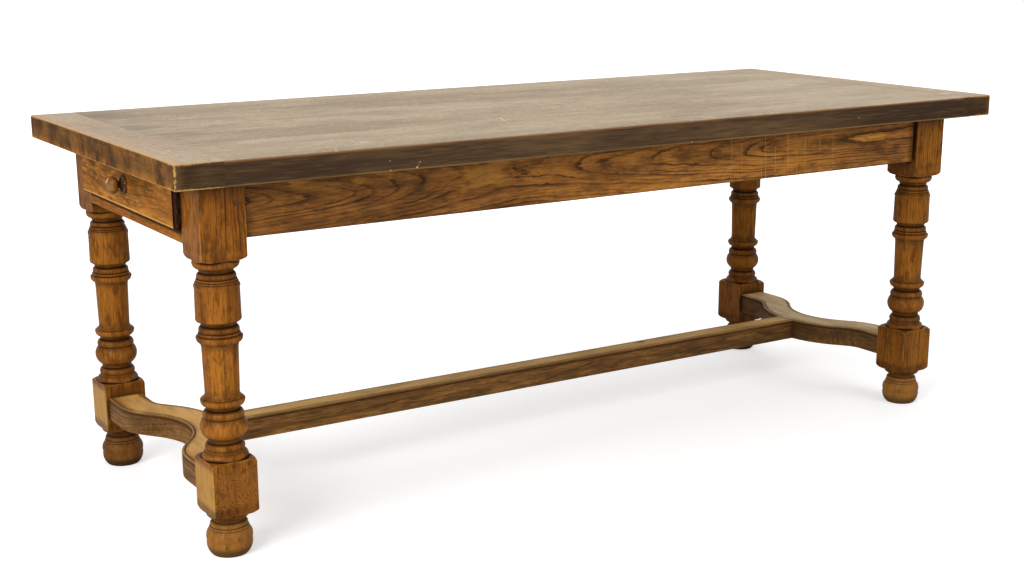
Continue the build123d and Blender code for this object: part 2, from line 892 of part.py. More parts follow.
with BuildPart() as drawer_back:
    slab(
        (drawer_back_x, -drawer_half_width, panel_top + cheek_gap),
        (drawer_end_x, drawer_half_width, back_top),
    )
    for joint_side in (-1, 1):
        with BuildSketch(side_plane(joint_side, cheek_gap)):
            draw_tails(back_tails, cheek_gap)
        extrude(amount=drawer_side_thickness + 2 * cheek_gap, mode=Mode.SUBTRACT)
finish(drawer_back.part, "drawer_back")

with BuildPart() as drawer_bottom:
    slab(
        (panel_front_x, -panel_half_width, panel_bottom),
        (drawer_end_x, panel_half_width, panel_top),
    )
finish(drawer_bottom.part, "drawer_bottom")

knob_plane = Plane(origin=(front_face_x, 0, knob_z), x_dir=(-1, 0, 0), z_dir=(0, 1, 0))
knob_axis = Axis((front_face_x, 0, knob_z), (-1, 0, 0))

with BuildPart() as knob_rosette:
    with BuildSketch(knob_plane):
        with BuildLine():
            bore = spigot_radius + cheek_gap
            ring_inner_radius = rosette_diameter / 2 - rosette_ring_width
            Polyline(
                (rosette_floor, ring_inner_radius),
                (rosette_floor, bore),
                (0, bore),
                (0, rosette_diameter / 2),
                (rosette_edge, rosette_diameter / 2),
            )
            ThreePointArc(
                (rosette_edge, rosette_diameter / 2),
                (rosette_thickness, (ring_inner_radius + rosette_diameter / 2) / 2),
                (rosette_floor, ring_inner_radius),
            )
        make_face()
    revolve(axis=knob_axis)
finish(knob_rosette.part, "knob_rosette")

# The knob's head is a shallow dome that runs into a round rim, and a hollow neck joins it to the rosette
with BuildPart() as drawer_knob:
    rim_centre_x = knob_reach - knob_rim_radius - knob_dome_rise
    rim_centre_radius = knob_diameter / 2 - knob_rim_radius
    dome_run = (rim_centre_radius**2 - knob_dome_rise**2) / (2 * knob_dome_rise)
    dome_centre_x = rim_centre_x - dome_run
    dome_angle = degrees(atan2(rim_centre_radius, dome_run))
    with BuildSketch(knob_plane):
        with BuildLine():
            CenterArc((dome_centre_x, 0), knob_reach - dome_centre_x, 0, dome_angle)
            rim = CenterArc(
                (rim_centre_x, rim_centre_radius),
                knob_rim_radius,
                dome_angle,
                knob_rim_end_angle - dome_angle,
            )
            neck_end = rim @ 1
            ThreePointArc(
                neck_end,
                ((rosette_floor + neck_end.X) / 2, knob_neck_radius),
                (rosette_floor, knob_base_radius),
            )
            Polyline(
                (rosette_floor, knob_base_radius),
                (rosette_floor, spigot_radius),
                (-spigot_depth, spigot_radius),
                (-spigot_depth, 0),
                (knob_reach, 0),
            )
        make_face()
    revolve(axis=knob_axis)
finish(drawer_knob.part, "drawer_knob")

# Runners, guides and stops
for rail_side in (-1, 1):
    with BuildPart() as drawer_runner:
        slab(
            (runner_front_x, rail_side * (leg_inner_y - runner_ledge), rail_top - runner_thickness),
            (runner_end_x, rail_side * apron_inner_y, rail_top),
        )
        slab(
            (runner_front_x - overrun, rail_side * leg_inner_y, rail_top - runner_thickness - overrun),
            (-leg_inner_x + slide_gap, rail_side * (apron_inner_y + overrun), rail_top + overrun),
            Mode.SUBTRACT,
        )
    finish(drawer_runner.part, f"{side_name(rail_side)}_drawer_runner")

    with BuildPart() as drawer_guide:
        slab(
            (-leg_inner_x, rail_side * leg_inner_y, rail_top),
            (runner_end_x, rail_side * apron_inner_y, rail_top + guide_height),
        )
    finish(drawer_guide.part, f"{side_name(rail_side)}_drawer_guide")

with BuildPart() as drawer_stops:
    for stop_side in (-1, 1):
        slab(
            (stop_x, stop_side * (leg_inner_y - runner_ledge), rail_top),
            (
                stop_x + stop_length,
                stop_side * (leg_inner_y - runner_ledge + stop_width),
                rail_top + stop_height,
            ),
        )
finish(drawer_stops.part, "drawer_stops")
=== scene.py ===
"""Looks of the farmhouse table: oak materials, studio light and the camera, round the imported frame."""
import math

import bpy
from mathutils import Matrix, Vector

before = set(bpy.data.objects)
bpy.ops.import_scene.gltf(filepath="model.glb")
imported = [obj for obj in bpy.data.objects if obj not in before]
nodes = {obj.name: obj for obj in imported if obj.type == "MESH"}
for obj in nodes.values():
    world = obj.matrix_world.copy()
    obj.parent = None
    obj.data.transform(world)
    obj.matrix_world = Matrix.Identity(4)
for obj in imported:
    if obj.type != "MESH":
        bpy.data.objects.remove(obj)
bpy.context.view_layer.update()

# Places on the table, in metres from the floor under its middle
TOP_Z = 0.760
TOP_UNDERSIDE = 0.713
HALF_LENGTH = 1.0
HALF_WIDTH = 0.424
RAIL_TOP = 0.6145
PEG_X = 0.860
PEG_Z = 0.670
TURNING_TOP = 0.590
TURNING_LENGTH = 0.418


# Shader graph helpers
class Graph:
    """Adds nodes to the tree of a material or a world and joins them; a value is a socket or a plain one."""

    def __init__(self, owner):
        self.owner = owner
        owner.use_nodes = True
        self.tree = owner.node_tree
        self.tree.nodes.clear()

    def add(self, kind, **settings):
        node = self.tree.nodes.new(kind)
        for key, value in settings.items():
            setattr(node, key, value)
        return node

    def put(self, socket, value):
        if isinstance(value, bpy.types.NodeSocket):
            self.tree.links.new(value, socket)
        elif value is not None:
            socket.default_value = value

    def math(self, operation, a, b=None, c=None):
        node = self.add("ShaderNodeMath", operation=operation)
        for socket, value in zip(node.inputs, (a, b, c)):
            self.put(socket, value)
        return node.outputs[0]

    def product(self, first, *others):
        for other in others:
            first = self.math("MULTIPLY", first, other)
        return first

    def linear(self, value, factor, shift):
        return self.math("MULTIPLY_ADD", value, factor, shift)

    def off(self, value, middle):
        """How far value is from middle, to either side."""
        return self.math("ABSOLUTE", self.math("SUBTRACT", value, middle))

    def most(self, masks):
        total = masks[0]
        for mask in masks[1:]:
            total = self.math("MAXIMUM", total, mask)
        return total

    def step(self, value, none, full):
        """A smooth step from 0 where value is none to 1 where it is full, and either may be the larger."""
        node = self.add("ShaderNodeMapRange", interpolation_type="SMOOTHSTEP")
        self.put(node.inputs["Value"], value)
        self.put(node.inputs["From Min"], min(none, full))
        self.put(node.inputs["From Max"], max(none, full))
        self.put(node.inputs["To Min"], 0.0 if none < full else 1.0)
        self.put(node.inputs["To Max"], 1.0 if none < full else 0.0)
        return node.outputs["Result"]

    def band(self, value, rise, fall):
        """1 between two steps, each given by where it is none and where it is full."""
        return self.product(self.step(value, *rise), self.step(value, *fall))

    def split(self, vector):
        node = self.add("ShaderNodeSeparateXYZ")
        self.put(node.inputs[0], vector)
        return node.outputs[0], node.outputs[1], node.outputs[2]

    def join(self, x, y, z):
        node = self.add("ShaderNodeCombineXYZ")
        for socket, value in zip(node.inputs, (x, y, z)):
            self.put(socket, value)
        return node.outputs[0]

    def scale(self, vector, factors, shift=(0, 0, 0)):
        node = self.add("ShaderNodeMapping", vector_type="POINT")
        self.put(node.inputs["Vector"], vector)
        self.put(node.inputs["Scale"], factors)
        self.put(node.inputs["Location"], shift)
        return node.outputs[0]

    def turn(self, vector, degrees):
        """Turned about Z, for marks that lie on a flat face at an angle."""
        node = self.add("ShaderNodeMapping", vector_type="TEXTURE")
        self.put(node.inputs["Vector"], vector)
        self.put(node.inputs["Rotation"], (0, 0, math.radians(degrees)))
        return node.outputs[0]

    def noise(self, vector, frequency, detail, rough, distort=0.0, colour=False):
        """Noise whose frequency, in waves per metre, is one number or one for each direction."""
        if hasattr(frequency, "__len__"):
            vector, frequency = self.scale(vector, frequency), 1.0
        node = self.add("ShaderNodeTexNoise", noise_dimensions="3D")
        self.put(node.inputs["Vector"], vector)
        self.put(node.inputs["Scale"], frequency)
        self.put(node.inputs["Detail"], detail)
        self.put(node.inputs["Roughness"], rough)
        self.put(node.inputs["Distortion"], distort)
        return node.outputs["Color" if colour else "Fac"]

    def ramp(self, value, stops):
        """A grey level from value, in straight lines between stops of place and level."""
        node = self.add("ShaderNodeValToRGB")
        elements = node.color_ramp.elements
        while len(elements) < len(stops):
            elements.new(0.5)
        for element, (place, level) in zip(elements, stops):
            element.position = place
            element.color = (level, level, level, 1)
        self.put(node.inputs[0], value)
        return node.outputs[0]

    def mix(self, share, a, b, blend="MIX"):
        node = self.add("ShaderNodeMix", data_type="RGBA", blend_type=blend, clamp_factor=True)
        self.put(node.inputs["Factor"], share)
        for socket, value in ((node.inputs[6], a), (node.inputs[7], b)):
            if hasattr(value, "__len__") and not isinstance(value, bpy.types.NodeSocket):
                value = (*value, 1)
            self.put(socket, value)
        return node.outputs[2]

    def tint(self, base, mask, strength, colour):
        """The base colour, drawn toward another by strength where mask is 1."""
        return self.mix(self.product(mask, strength), base, colour)

    def bump(self, height, strength, depth):
        node = self.add("ShaderNodeBump")
        self.put(node.inputs["Strength"], strength)
        self.put(node.inputs["Distance"], depth)
        self.put(node.inputs["Height"], height)
        return node

    def surface(self, shader, output="ShaderNodeOutputMaterial"):
        """Ends the tree with this shader, and gives the material or world it belongs to."""
        self.put(self.add(output).inputs["Surface"], shader.outputs[0])
        return self.owner


def toned(colour, tone):
    return tuple(c * tone for c in colour)


# Marks shared by several materials
def near_edge(g, radius, none, full):
    """1 on arrises, found by the cosine of how far a bevel of this radius would turn the surface there."""
    bevel = g.add("ShaderNodeBevel", samples=6)
    g.put(bevel.inputs["Radius"], radius)
    normal = g.add("ShaderNodeNewGeometry").outputs["Normal"]
    dot = g.add("ShaderNodeVectorMath", operation="DOT_PRODUCT")
    g.put(dot.inputs[0], bevel.outputs[0])
    g.put(dot.inputs[1], normal)
    return g.step(dot.outputs["Value"], none, full)


def distance(g, first, second, centre, stretch=(1.0, 1.0)):
    """Distance from a centre on a flat face, given the face's two coordinates, which stretch multiplies."""
    squares = []
    for value, middle, factor in zip((first, second), centre, stretch):
        if factor != 1.0:
            value = g.product(value, factor)
        squares.append(g.math("POWER", g.math("SUBTRACT", value, middle * factor), 2.0))
    return g.math("SQRT", g.math("ADD", *squares))


def spot(g, first, second, centre, radius, soft, stretch=(1.0, 1.0)):
    """1 inside a round or oval mark, whose rim fades over the share soft of its radius to either side."""
    return g.step(distance(g, first, second, centre, stretch), radius * (1 + soft), radius * (1 - soft))


# Oak and steel
EDGE_RADIUS = 0.0030
SOFTENED_RADIUS = 0.0012
GRAIN_DEPTH = 0.0004
GRAIN_STRENGTH = 0.4
WAX_IOR = 1.46
STEEL_GREY = (0.26, 0.25, 0.24)
RUST = (0.16, 0.08, 0.04)


def grain_space(g, axis, offset):
    """Coordinates in metres with X along the grain, moved by the board's own offset."""
    place = g.add("ShaderNodeTexCoord").outputs["Object"]
    x, y, z = g.split(place)
    along, across, depth = {"x": (x, y, z), "y": (y, x, z), "z": (z, x, y)}[axis]
    return place, g.scale(g.join(along, across, depth), (1, 1, 1), offset)


def growth_rings(g, p, pith, ring, wander, cone, feathering, line_width):
    """Thin dark lines with a soft trailing side, round a pith line that runs beside the board."""
    along, across, depth = g.split(p)
    drift = g.split(g.noise(p, (1.8, 7.0, 7.0), 3.0, 0.55, 0.2, colour=True))
    across = g.linear(g.math("SUBTRACT", drift[0], 0.5), wander * 4, across)
    depth = g.linear(g.math("SUBTRACT", drift[1], 0.5), wander * 4, depth)
    if cone:
        middle, before, beyond, rounding = cone
        run = g.math("SUBTRACT", along, middle)
        bend = g.math("SQRT", g.math("ADD", g.math("POWER", run, 2.0), rounding ** 2))
        across = g.linear(bend, (beyond + before) / 2, across)
        across = g.linear(run, (beyond - before) / 2, across)
    feather = g.noise(p, (40.0, 190.0, 190.0), 3.0, 0.62)
    square = g.math("ADD", g.math("POWER", g.math("ADD", across, pith[0]), 2.0),
                    g.math("POWER", g.math("ADD", depth, pith[1]), 2.0))
    radius = g.linear(g.math("SUBTRACT", feather, 0.5), feathering, g.math("SQRT", square))
    turns = g.math("DIVIDE", radius, ring)
    uneven = g.noise(g.join(turns, 0.0, 0.0), 0.5, 1.0, 0.5)
    phase = g.math("FRACT", g.linear(uneven, 2.4, turns))
    early = g.ramp(phase, ((0.0, 0.35), (0.05, 1.0), (0.16 * line_width, 0.85), (0.34 * line_width, 0.25),
                           (0.55 * line_width, 0.05), (1.0, 0.0)))
    strength = g.noise(p, (4.5, 26.0, 26.0), 2.0, 0.6)
    return g.product(early, g.linear(g.step(strength, 0.30, 0.58), 0.66, 0.34))


def oak(name, axis, offset, pith, light, dark, line, ring=0.0055, wander=0.014, cone=None, line_depth=0.6,
        line_width=1.0, feathering=0.0046, stain=0.4, flame=0.6, streak=0.6, gloss=0.42, specular=0.14,
        wear=0.5, wear_colour=(0.50, 0.30, 0.10), grime_and_shade=0.9, grime_and_shade_colour=(0.022, 0.008, 0.003),
        grime_and_shade_reach=0.020, grain=1.0, lines_where=None, finish=None):
    """Waxed open-grained oak, with growth rings round a pith line beside the board.

    pith is the board's distance from that line, across and in depth; wander is how far the line strays; cone
    gives the middle, the two slopes and the rounding of a bend in it, which draws cathedral figure on the
    face. flame and streak are the strengths of the coarse and the fine streaks, and grain makes both finer;
    lines_where gives a share of the rings' strength from the place on the board. finish takes the colour and
    the roughness, and gives them back with the piece's own marks. Colours are linear.
    """
    g = Graph(bpy.data.materials.new(name))
    place, p = grain_space(g, axis, offset)
    early = growth_rings(g, p, pith, ring, wander, cone, feathering, line_width)
    if lines_where:
        early = g.product(early, lines_where(g, place))

    # Pores, streaks, mottling and broad colour
    pores = g.step(g.noise(p, (45.0, 1500.0, 1500.0), 1.0, 0.5), 0.60, 0.72)
    pores = g.product(pores, g.linear(early, 0.6, 0.4))
    fine = g.noise(g.scale(p, (26.0, 340.0, 340.0)), grain, 3.0, 0.62)
    coarse = g.noise(g.scale(p, (6.0, 62.0, 62.0)), grain, 3.0, 0.58)
    broad = g.noise(p, (2.4, 10.0, 10.0), 3.0, 0.55)
    mottled = g.noise(g.scale(p, (15.0, 34.0, 34.0)), grain, 4.0, 0.62)
    colour = g.mix(g.step(broad, 0.38, 0.62), light, dark)
    colour = g.tint(colour, g.step(coarse, 0.44, 0.60), flame * 0.85, dark)
    colour = g.tint(colour, g.step(coarse, 0.46, 0.32), flame * 0.60, wear_colour)
    colour = g.tint(colour, g.step(fine, 0.48, 0.64), streak * 0.90, line)
    colour = g.tint(colour, g.step(fine, 0.46, 0.32), streak * 0.60, wear_colour)
    colour = g.tint(colour, g.step(mottled, 0.48, 0.64), stain, line)
    colour = g.tint(colour, early, line_depth, line)
    colour = g.tint(colour, pores, 0.75, line)

    # Grime and painted shade in corners, creases and between parts, from ambient occlusion; wear on the
    # arrises
    shade = g.add("ShaderNodeAmbientOcclusion", samples=8, inside=False)
    g.put(shade.inputs["Distance"], grime_and_shade_reach)
    grime_and_shade_mask = g.product(g.step(shade.outputs["AO"], 0.95, 0.52), grime_and_shade)
    colour = g.mix(grime_and_shade_mask, colour, grime_and_shade_colour)
    edge = near_edge(g, EDGE_RADIUS, 0.995, 0.90)
    patchy = g.noise(p, (22.0, 55.0, 55.0), 4.0, 0.65)
    edge = g.product(edge, g.step(patchy, 0.34, 0.58), g.math("SUBTRACT", 1.0, grime_and_shade_mask), wear)
    colour = g.mix(edge, colour, wear_colour)

    rough = g.linear(g.math("MAXIMUM", pores, early), 0.16, gloss)
    rough = g.linear(mottled, 0.14, rough)
    rough = g.linear(grime_and_shade_mask, 0.15, rough)
    if finish:
        colour, rough = finish(g, place, p, colour, rough)

    # Relief of the rings, pores and fibres, on softened arrises
    height = g.linear(fine, 0.4, g.linear(early, -0.45, g.product(pores, -1.0)))
    relief = g.bump(height, GRAIN_STRENGTH, GRAIN_DEPTH)
    soft = g.add("ShaderNodeBevel", samples=4)
    g.put(soft.inputs["Radius"], SOFTENED_RADIUS)
    g.put(relief.inputs["Normal"], soft.outputs[0])

    shader = g.add("ShaderNodeBsdfPrincipled")
    g.put(shader.inputs["Base Color"], colour)
    g.put(shader.inputs["Roughness"], rough)
    g.put(shader.inputs["Normal"], relief.outputs[0])
    g.put(shader.inputs["IOR"], WAX_IOR)
    g.put(shader.inputs["Specular IOR Level"], specular)
    return g.surface(shader)


def steel(name):
    """Dull steel, faintly pitted, with spots of rust."""
    g = Graph(bpy.data.materials.new(name))
    place = g.add("ShaderNodeTexCoord").outputs["Object"]
    spots = g.noise(place, 900.0, 4.0, 0.6)
    shader = g.add("ShaderNodeBsdfPrincipled")
    g.put(shader.inputs["Base Color"], g.mix(g.step(spots, 0.5, 0.7), STEEL_GREY, RUST))
    g.put(shader.inputs["Roughness"], g.linear(spots, 0.35, 0.25))
    g.put(shader.inputs["Metallic"], 0.9)
    g.put(shader.inputs["Normal"], g.bump(spots, 0.3, 0.0002).outputs[0])
    return g.surface(shader)


def dress(node, material, sides=None):
    """One material on a CAD node, or one on its upper faces and another on the rest."""
    data = nodes[node].data
    data.materials.clear()
    data.materials.append(material)
    if sides:
        data.materials.append(sides)
    for face in data.polygons:
        face.material_index = 1 if sides and face.normal.z < 0.7 else 0


# Top: scrubbed grey-brown upper faces, nearly black-brown long edges. Marks have a centre and a radius; the
# chips, on the front edge, have their centre in x and z, and a strength too.
UPPER_FACE_Z = (TOP_Z - 0.0030, TOP_Z - 0.0006)
RUBS = (((-0.564, 0.220), 0.012), ((-0.705, 0.100), 0.010), ((-0.604, -0.350), 0.014),
        ((-0.643, -0.152), 0.010), ((-0.646, -0.290), 0.009), ((0.768, 0.010), 0.018),
        ((0.170, -0.393), 0.020), ((0.110, -0.403), 0.010), ((-0.111, -0.275), 0.009),
        ((0.939, -0.345), 0.022), ((0.964, -0.269), 0.012), ((0.000, -0.389), 0.008),
        ((0.240, 0.180), 0.012))
RUB_STRETCH = (1.0, 1.6)
CHIPS = (((-0.592, 0.733), 0.0011, 0.5), ((-0.530, 0.726), 0.0012, 0.6), ((-0.536, 0.717), 0.0016, 1.0),
         ((-0.591, 0.7155), 0.0012, 0.8), ((-0.533, 0.7215), 0.0009, 0.5), ((0.107, 0.7155), 0.0012, 0.7),
         ((0.577, 0.734), 0.0013, 0.5))
CHIPPED_FACE_Y = (-0.4225, -0.4235)
DENT = ((0.814, -0.266), 0.0045)
CUT_MIDDLE = (-0.2095, -0.1985)
CUT_RUN = (0.362, 0.932)
CUT_SIDE = (0.0022, 0.0008)
CUT_END = (0.029, 0.022)
# Angle in degrees, waves per metre along and across the scratches, and those of their patches
SCRATCHES = ((24, (8.0, 420.0, 1.0), 5.0), (-38, (10.0, 520.0, 1.0), 4.0), (71, (12.0, 460.0, 1.0), 6.0))

SPECK_PALE = (0.60, 0.50, 0.37)
SCUFF_PALE = (0.58, 0.50, 0.40)
RUB_PALE = (0.66, 0.58, 0.46)
CUT_PALE = (0.70, 0.62, 0.50)
SCRATCH_PALE = (0.60, 0.52, 0.42)
RIGHT_PAINTED_LIGHT = (0.76, 0.66, 0.50)
DENT_BROWN = (0.150, 0.105, 0.060)
DAMP_BROWN = (0.125, 0.088, 0.050)
PLANK_LIGHT = (0.472, 0.356, 0.222)
PLANK_DARK = (0.285, 0.206, 0.118)
BREADBOARD_LIGHT = (0.52, 0.385, 0.245)
BREADBOARD_DARK = (0.36, 0.250, 0.150)
OCHRE = (0.46, 0.29, 0.085)
CHIP_OCHRE = (0.60, 0.42, 0.17)
RIM_BROWN = (0.46, 0.27, 0.11)
ARRIS_BROWN = (0.50, 0.27, 0.085)
EDGE_DARK = (0.040, 0.023, 0.011)
EDGE_BROWN = (0.105, 0.058, 0.023)


def scratches(g, flat, degrees, spread, cover):
    """Fine scratches at one angle, in patches."""
    lines = g.noise(g.turn(flat, degrees), spread, 1.0, 0.4)
    patch = g.noise(flat, cover, 2.0, 0.5)
    return g.product(g.step(lines, 0.67, 0.72), g.step(patch, 0.46, 0.60))


def upper_face(g, place, p, colour, light, dark):
    """Colour of the scrubbed upper face, and the mask of the scratches on it."""
    x, y, _ = g.split(place)
    flat = g.join(x, y, 0.0)
    clouds = g.noise(p, (1.9, 6.5, 6.5), 4.0, 0.6)
    streaks = g.noise(p, (6.0, 44.0, 44.0), 4.0, 0.64)
    fibres = g.noise(p, (34.0, 330.0, 330.0), 3.0, 0.6)
    specks = g.noise(p, (75.0, 120.0, 120.0), 3.0, 0.72)
    scrubbed = g.mix(g.step(clouds, 0.36, 0.66), light, dark)
    scrubbed = g.tint(scrubbed, g.step(streaks, 0.44, 0.68), 0.50, dark)
    scrubbed = g.tint(scrubbed, g.step(fibres, 0.46, 0.70), 0.40, toned(dark, 0.6))
    scrubbed = g.tint(scrubbed, g.step(specks, 0.53, 0.68), 0.50, toned(dark, 0.6))
    scrubbed = g.tint(scrubbed, g.step(specks, 0.45, 0.31), 0.45, SPECK_PALE)
    scrubbed = g.mix(0.12, scrubbed, colour)
    scuffs = g.noise(flat, (11.0, 24.0, 1.0), 6.0, 0.68)
    scrubbed = g.tint(scrubbed, g.step(scuffs, 0.59, 0.70), 0.45, SCUFF_PALE)
    # Rubs, a dent and one long cut
    rubs = g.most([spot(g, x, y, centre, radius, 0.8, RUB_STRETCH) for centre, radius in RUBS])
    scrubbed = g.tint(scrubbed, g.product(rubs, g.step(specks, 0.58, 0.42)), 0.60, RUB_PALE)
    scrubbed = g.tint(scrubbed, spot(g, x, y, *DENT, 0.6), 0.55, DENT_BROWN)
    from_x = g.math("SUBTRACT", x, CUT_MIDDLE[0])
    from_y = g.math("SUBTRACT", y, CUT_MIDDLE[1])
    aside = g.math("ADD", g.product(from_x, CUT_RUN[1]), g.product(from_y, -CUT_RUN[0]))
    along = g.math("ADD", g.product(from_x, CUT_RUN[0]), g.product(from_y, CUT_RUN[1]))
    cut = g.product(g.step(g.math("ABSOLUTE", aside), *CUT_SIDE), g.step(g.math("ABSOLUTE", along), *CUT_END))
    scrubbed = g.tint(scrubbed, cut, 0.75, CUT_PALE)
    # Old stains, then fine scratches over everything
    stains = g.noise(flat, (3.1, 11.0, 1.0), 3.0, 0.55)
    scrubbed = g.tint(scrubbed, g.step(stains, 0.56, 0.72), 0.35, toned(dark, 0.55))
    marks = g.most([scratches(g, flat, *kind) for kind in SCRATCHES])
    return g.tint(scrubbed, marks, 0.40, SCRATCH_PALE), marks


def plank_finish(light, dark):
    """Scrubbed above, and stained nearly black on the long edges, browner along the middle of the table."""
    def apply(g, place, p, colour, rough):
        x, y, z = g.split(place)
        upper = g.step(z, *UPPER_FACE_Z)
        scrubbed, marks = upper_face(g, place, p, colour, light, dark)
        # Damp-darkened ends beside the left breadboard end, and painted light that makes the face paler
        # toward the right
        patch = g.noise(p, (5.0, 9.0, 9.0), 3.0, 0.6)
        damp = g.product(g.step(x, -0.74, -0.89), g.step(patch, 0.38, 0.58), g.step(y, -0.34, 0.10))
        scrubbed = g.tint(scrubbed, damp, 0.5, DAMP_BROWN)
        scrubbed = g.tint(scrubbed, g.step(x, 0.1, 0.8), 0.13, RIGHT_PAINTED_LIGHT)
        # Long edges
        cloudy = g.noise(p, (3.0, 9.0, 30.0), 4.0, 0.6)
        stained = g.mix(g.step(cloudy, 0.40, 0.66), EDGE_DARK, EDGE_BROWN)
        stained = g.mix(0.22, stained, colour)
        stained = g.tint(stained, g.step(g.off(x, -0.05), 0.32, 0.78), 0.72, (0.034, 0.018, 0.009))
        stained = g.tint(stained, g.step(x, 0.25, 0.65), 0.30, (0.028, 0.015, 0.008))
        threads = g.noise(p, (14.0, 30.0, 300.0), 3.0, 0.62)
        stained = g.tint(stained, g.step(threads, 0.50, 0.66), 0.45, (0.022, 0.011, 0.006))
        stained = g.tint(stained, g.step(threads, 0.46, 0.30), 0.40, (0.150, 0.084, 0.034))
        # Stain worn off their arrises, and the chips
        low = g.product(g.step(z, TOP_UNDERSIDE + 0.0042, TOP_UNDERSIDE + 0.0015), 0.8,
                        g.linear(g.step(cloudy, 0.35, 0.55), 0.5, 0.5))
        stained = g.mix(low, stained, (0.22, 0.125, 0.040))
        rim = g.product(g.step(z, TOP_Z - 0.0065, TOP_Z - 0.0030), g.step(cloudy, 0.30, 0.52))
        stained = g.tint(stained, rim, 0.65, (0.24, 0.105, 0.038))
        chips = g.most([g.product(spot(g, x, z, centre, radius, 0.8), share)
                        for centre, radius, share in CHIPS])
        stained = g.tint(stained, chips, g.step(y, *CHIPPED_FACE_Y), CHIP_OCHRE)
        rough = g.linear(upper, 0.04, rough)
        rough = g.linear(g.math("SUBTRACT", 1.0, upper), 0.12, rough)
        return g.mix(upper, stained, scrubbed), g.math("SUBTRACT", rough, g.product(marks, upper, 0.08))
    return apply


def breadboard_finish(end):
    """The long faces at the table's ends are streaked brown; the short ones match the planks' edges."""
    def apply(g, place, p, colour, rough):
        x, y, z = g.split(place)
        outward = g.product(x, end)
        upper = g.step(z, *UPPER_FACE_Z)
        scrubbed, marks = upper_face(g, place, p, colour, BREADBOARD_LIGHT, BREADBOARD_DARK)
        scrubbed = g.tint(scrubbed, g.step(outward, 0.965, 0.998), 0.55, RIM_BROWN)
        # Long faces: upright streaks of stain and wear
        bands = g.noise(g.join(y, z, 0.3), (15.0, 14.0, 1.0), 5.0, 0.66)
        threads = g.noise(g.join(y, z, 0.7), (170.0, 34.0, 1.0), 3.0, 0.62)
        grain_lines = g.noise(g.join(y, z, 0.2), (18.0, 260.0, 1.0), 3.0, 0.6)
        long = g.mix(g.step(bands, 0.34, 0.66), (0.182, 0.078, 0.019), (0.046, 0.020, 0.006))
        long = g.tint(long, g.step(grain_lines, 0.50, 0.64), 0.40, (0.060, 0.028, 0.009))
        long = g.tint(long, g.step(threads, 0.52, 0.68), 0.45, (0.045, 0.022, 0.008))
        long = g.tint(long, g.step(threads, 0.42, 0.30), 0.32, (0.27, 0.122, 0.030))
        dim = g.step(g.noise(g.join(y, z, 1.7), (5.0, 1.0, 1.0), 2.0, 0.5), 0.50, 0.62)
        long = g.tint(long, dim, 0.45, (0.050, 0.024, 0.009))
        glow = g.product(g.step(z, 0.7310, 0.7160), g.step(bands, 0.62, 0.44))
        long = g.tint(long, glow, 0.45, (0.37, 0.132, 0.020))
        # Short faces, warmer beside the corner
        cloudy = g.noise(p, (9.0, 9.0, 30.0), 4.0, 0.6)
        lean = g.noise(place, (14.0, 30.0, 300.0), 3.0, 0.62)
        short = g.mix(g.step(cloudy, 0.42, 0.68), (0.034, 0.019, 0.010), (0.058, 0.032, 0.015))
        short = g.tint(short, g.step(lean, 0.50, 0.66), 0.50, (0.018, 0.009, 0.005))
        short = g.tint(short, g.step(lean, 0.46, 0.30), 0.28, (0.130, 0.074, 0.032))
        short = g.mix(0.06, short, colour)
        warm = g.step(outward, HALF_LENGTH - 0.022, HALF_LENGTH - 0.002)
        short = g.tint(short, warm, 0.45, (0.150, 0.074, 0.026))
        faced = g.step(g.math("ABSOLUTE", y), HALF_WIDTH - 0.0035, HALF_WIDTH - 0.0012)
        sides = g.mix(faced, long, short)
        # Upright corners and lower arris, ochre where the stain has gone, most of all near the corners
        ragged = g.noise(place, 170.0, 5.0, 0.68)
        from_end = g.math("SUBTRACT", HALF_LENGTH, outward)
        from_side = g.math("SUBTRACT", HALF_WIDTH, g.math("ABSOLUTE", y))
        nearest = g.math("MINIMUM", from_end, from_side)
        by_corner = g.step(g.math("MAXIMUM", from_end, from_side), 0.085, 0.010)
        reach = g.product(g.linear(by_corner, 0.0014, 0.0018), g.linear(ragged, 3.4, -0.7))
        corner = g.step(g.math("DIVIDE", g.math("ADD", from_end, from_side), reach), 1.25, 0.75)
        lower_run = g.math("ADD", g.math("SUBTRACT", z, TOP_UNDERSIDE), nearest)
        lower = g.step(g.math("DIVIDE", lower_run, reach), 1.15, 0.65)
        upper_run = g.math("ADD", g.math("SUBTRACT", TOP_Z, z), nearest)
        arris = g.step(g.math("DIVIDE", upper_run, reach), 1.5, 0.8)
        sides = g.tint(sides, g.math("MAXIMUM", corner, lower), 0.80, OCHRE)
        colour = g.tint(g.mix(upper, sides, scrubbed), arris, 0.60, ARRIS_BROWN)
        rough = g.linear(g.math("SUBTRACT", 1.0, upper), 0.10, rough)
        return colour, g.math("SUBTRACT", rough, g.product(marks, upper, 0.08))
    return apply


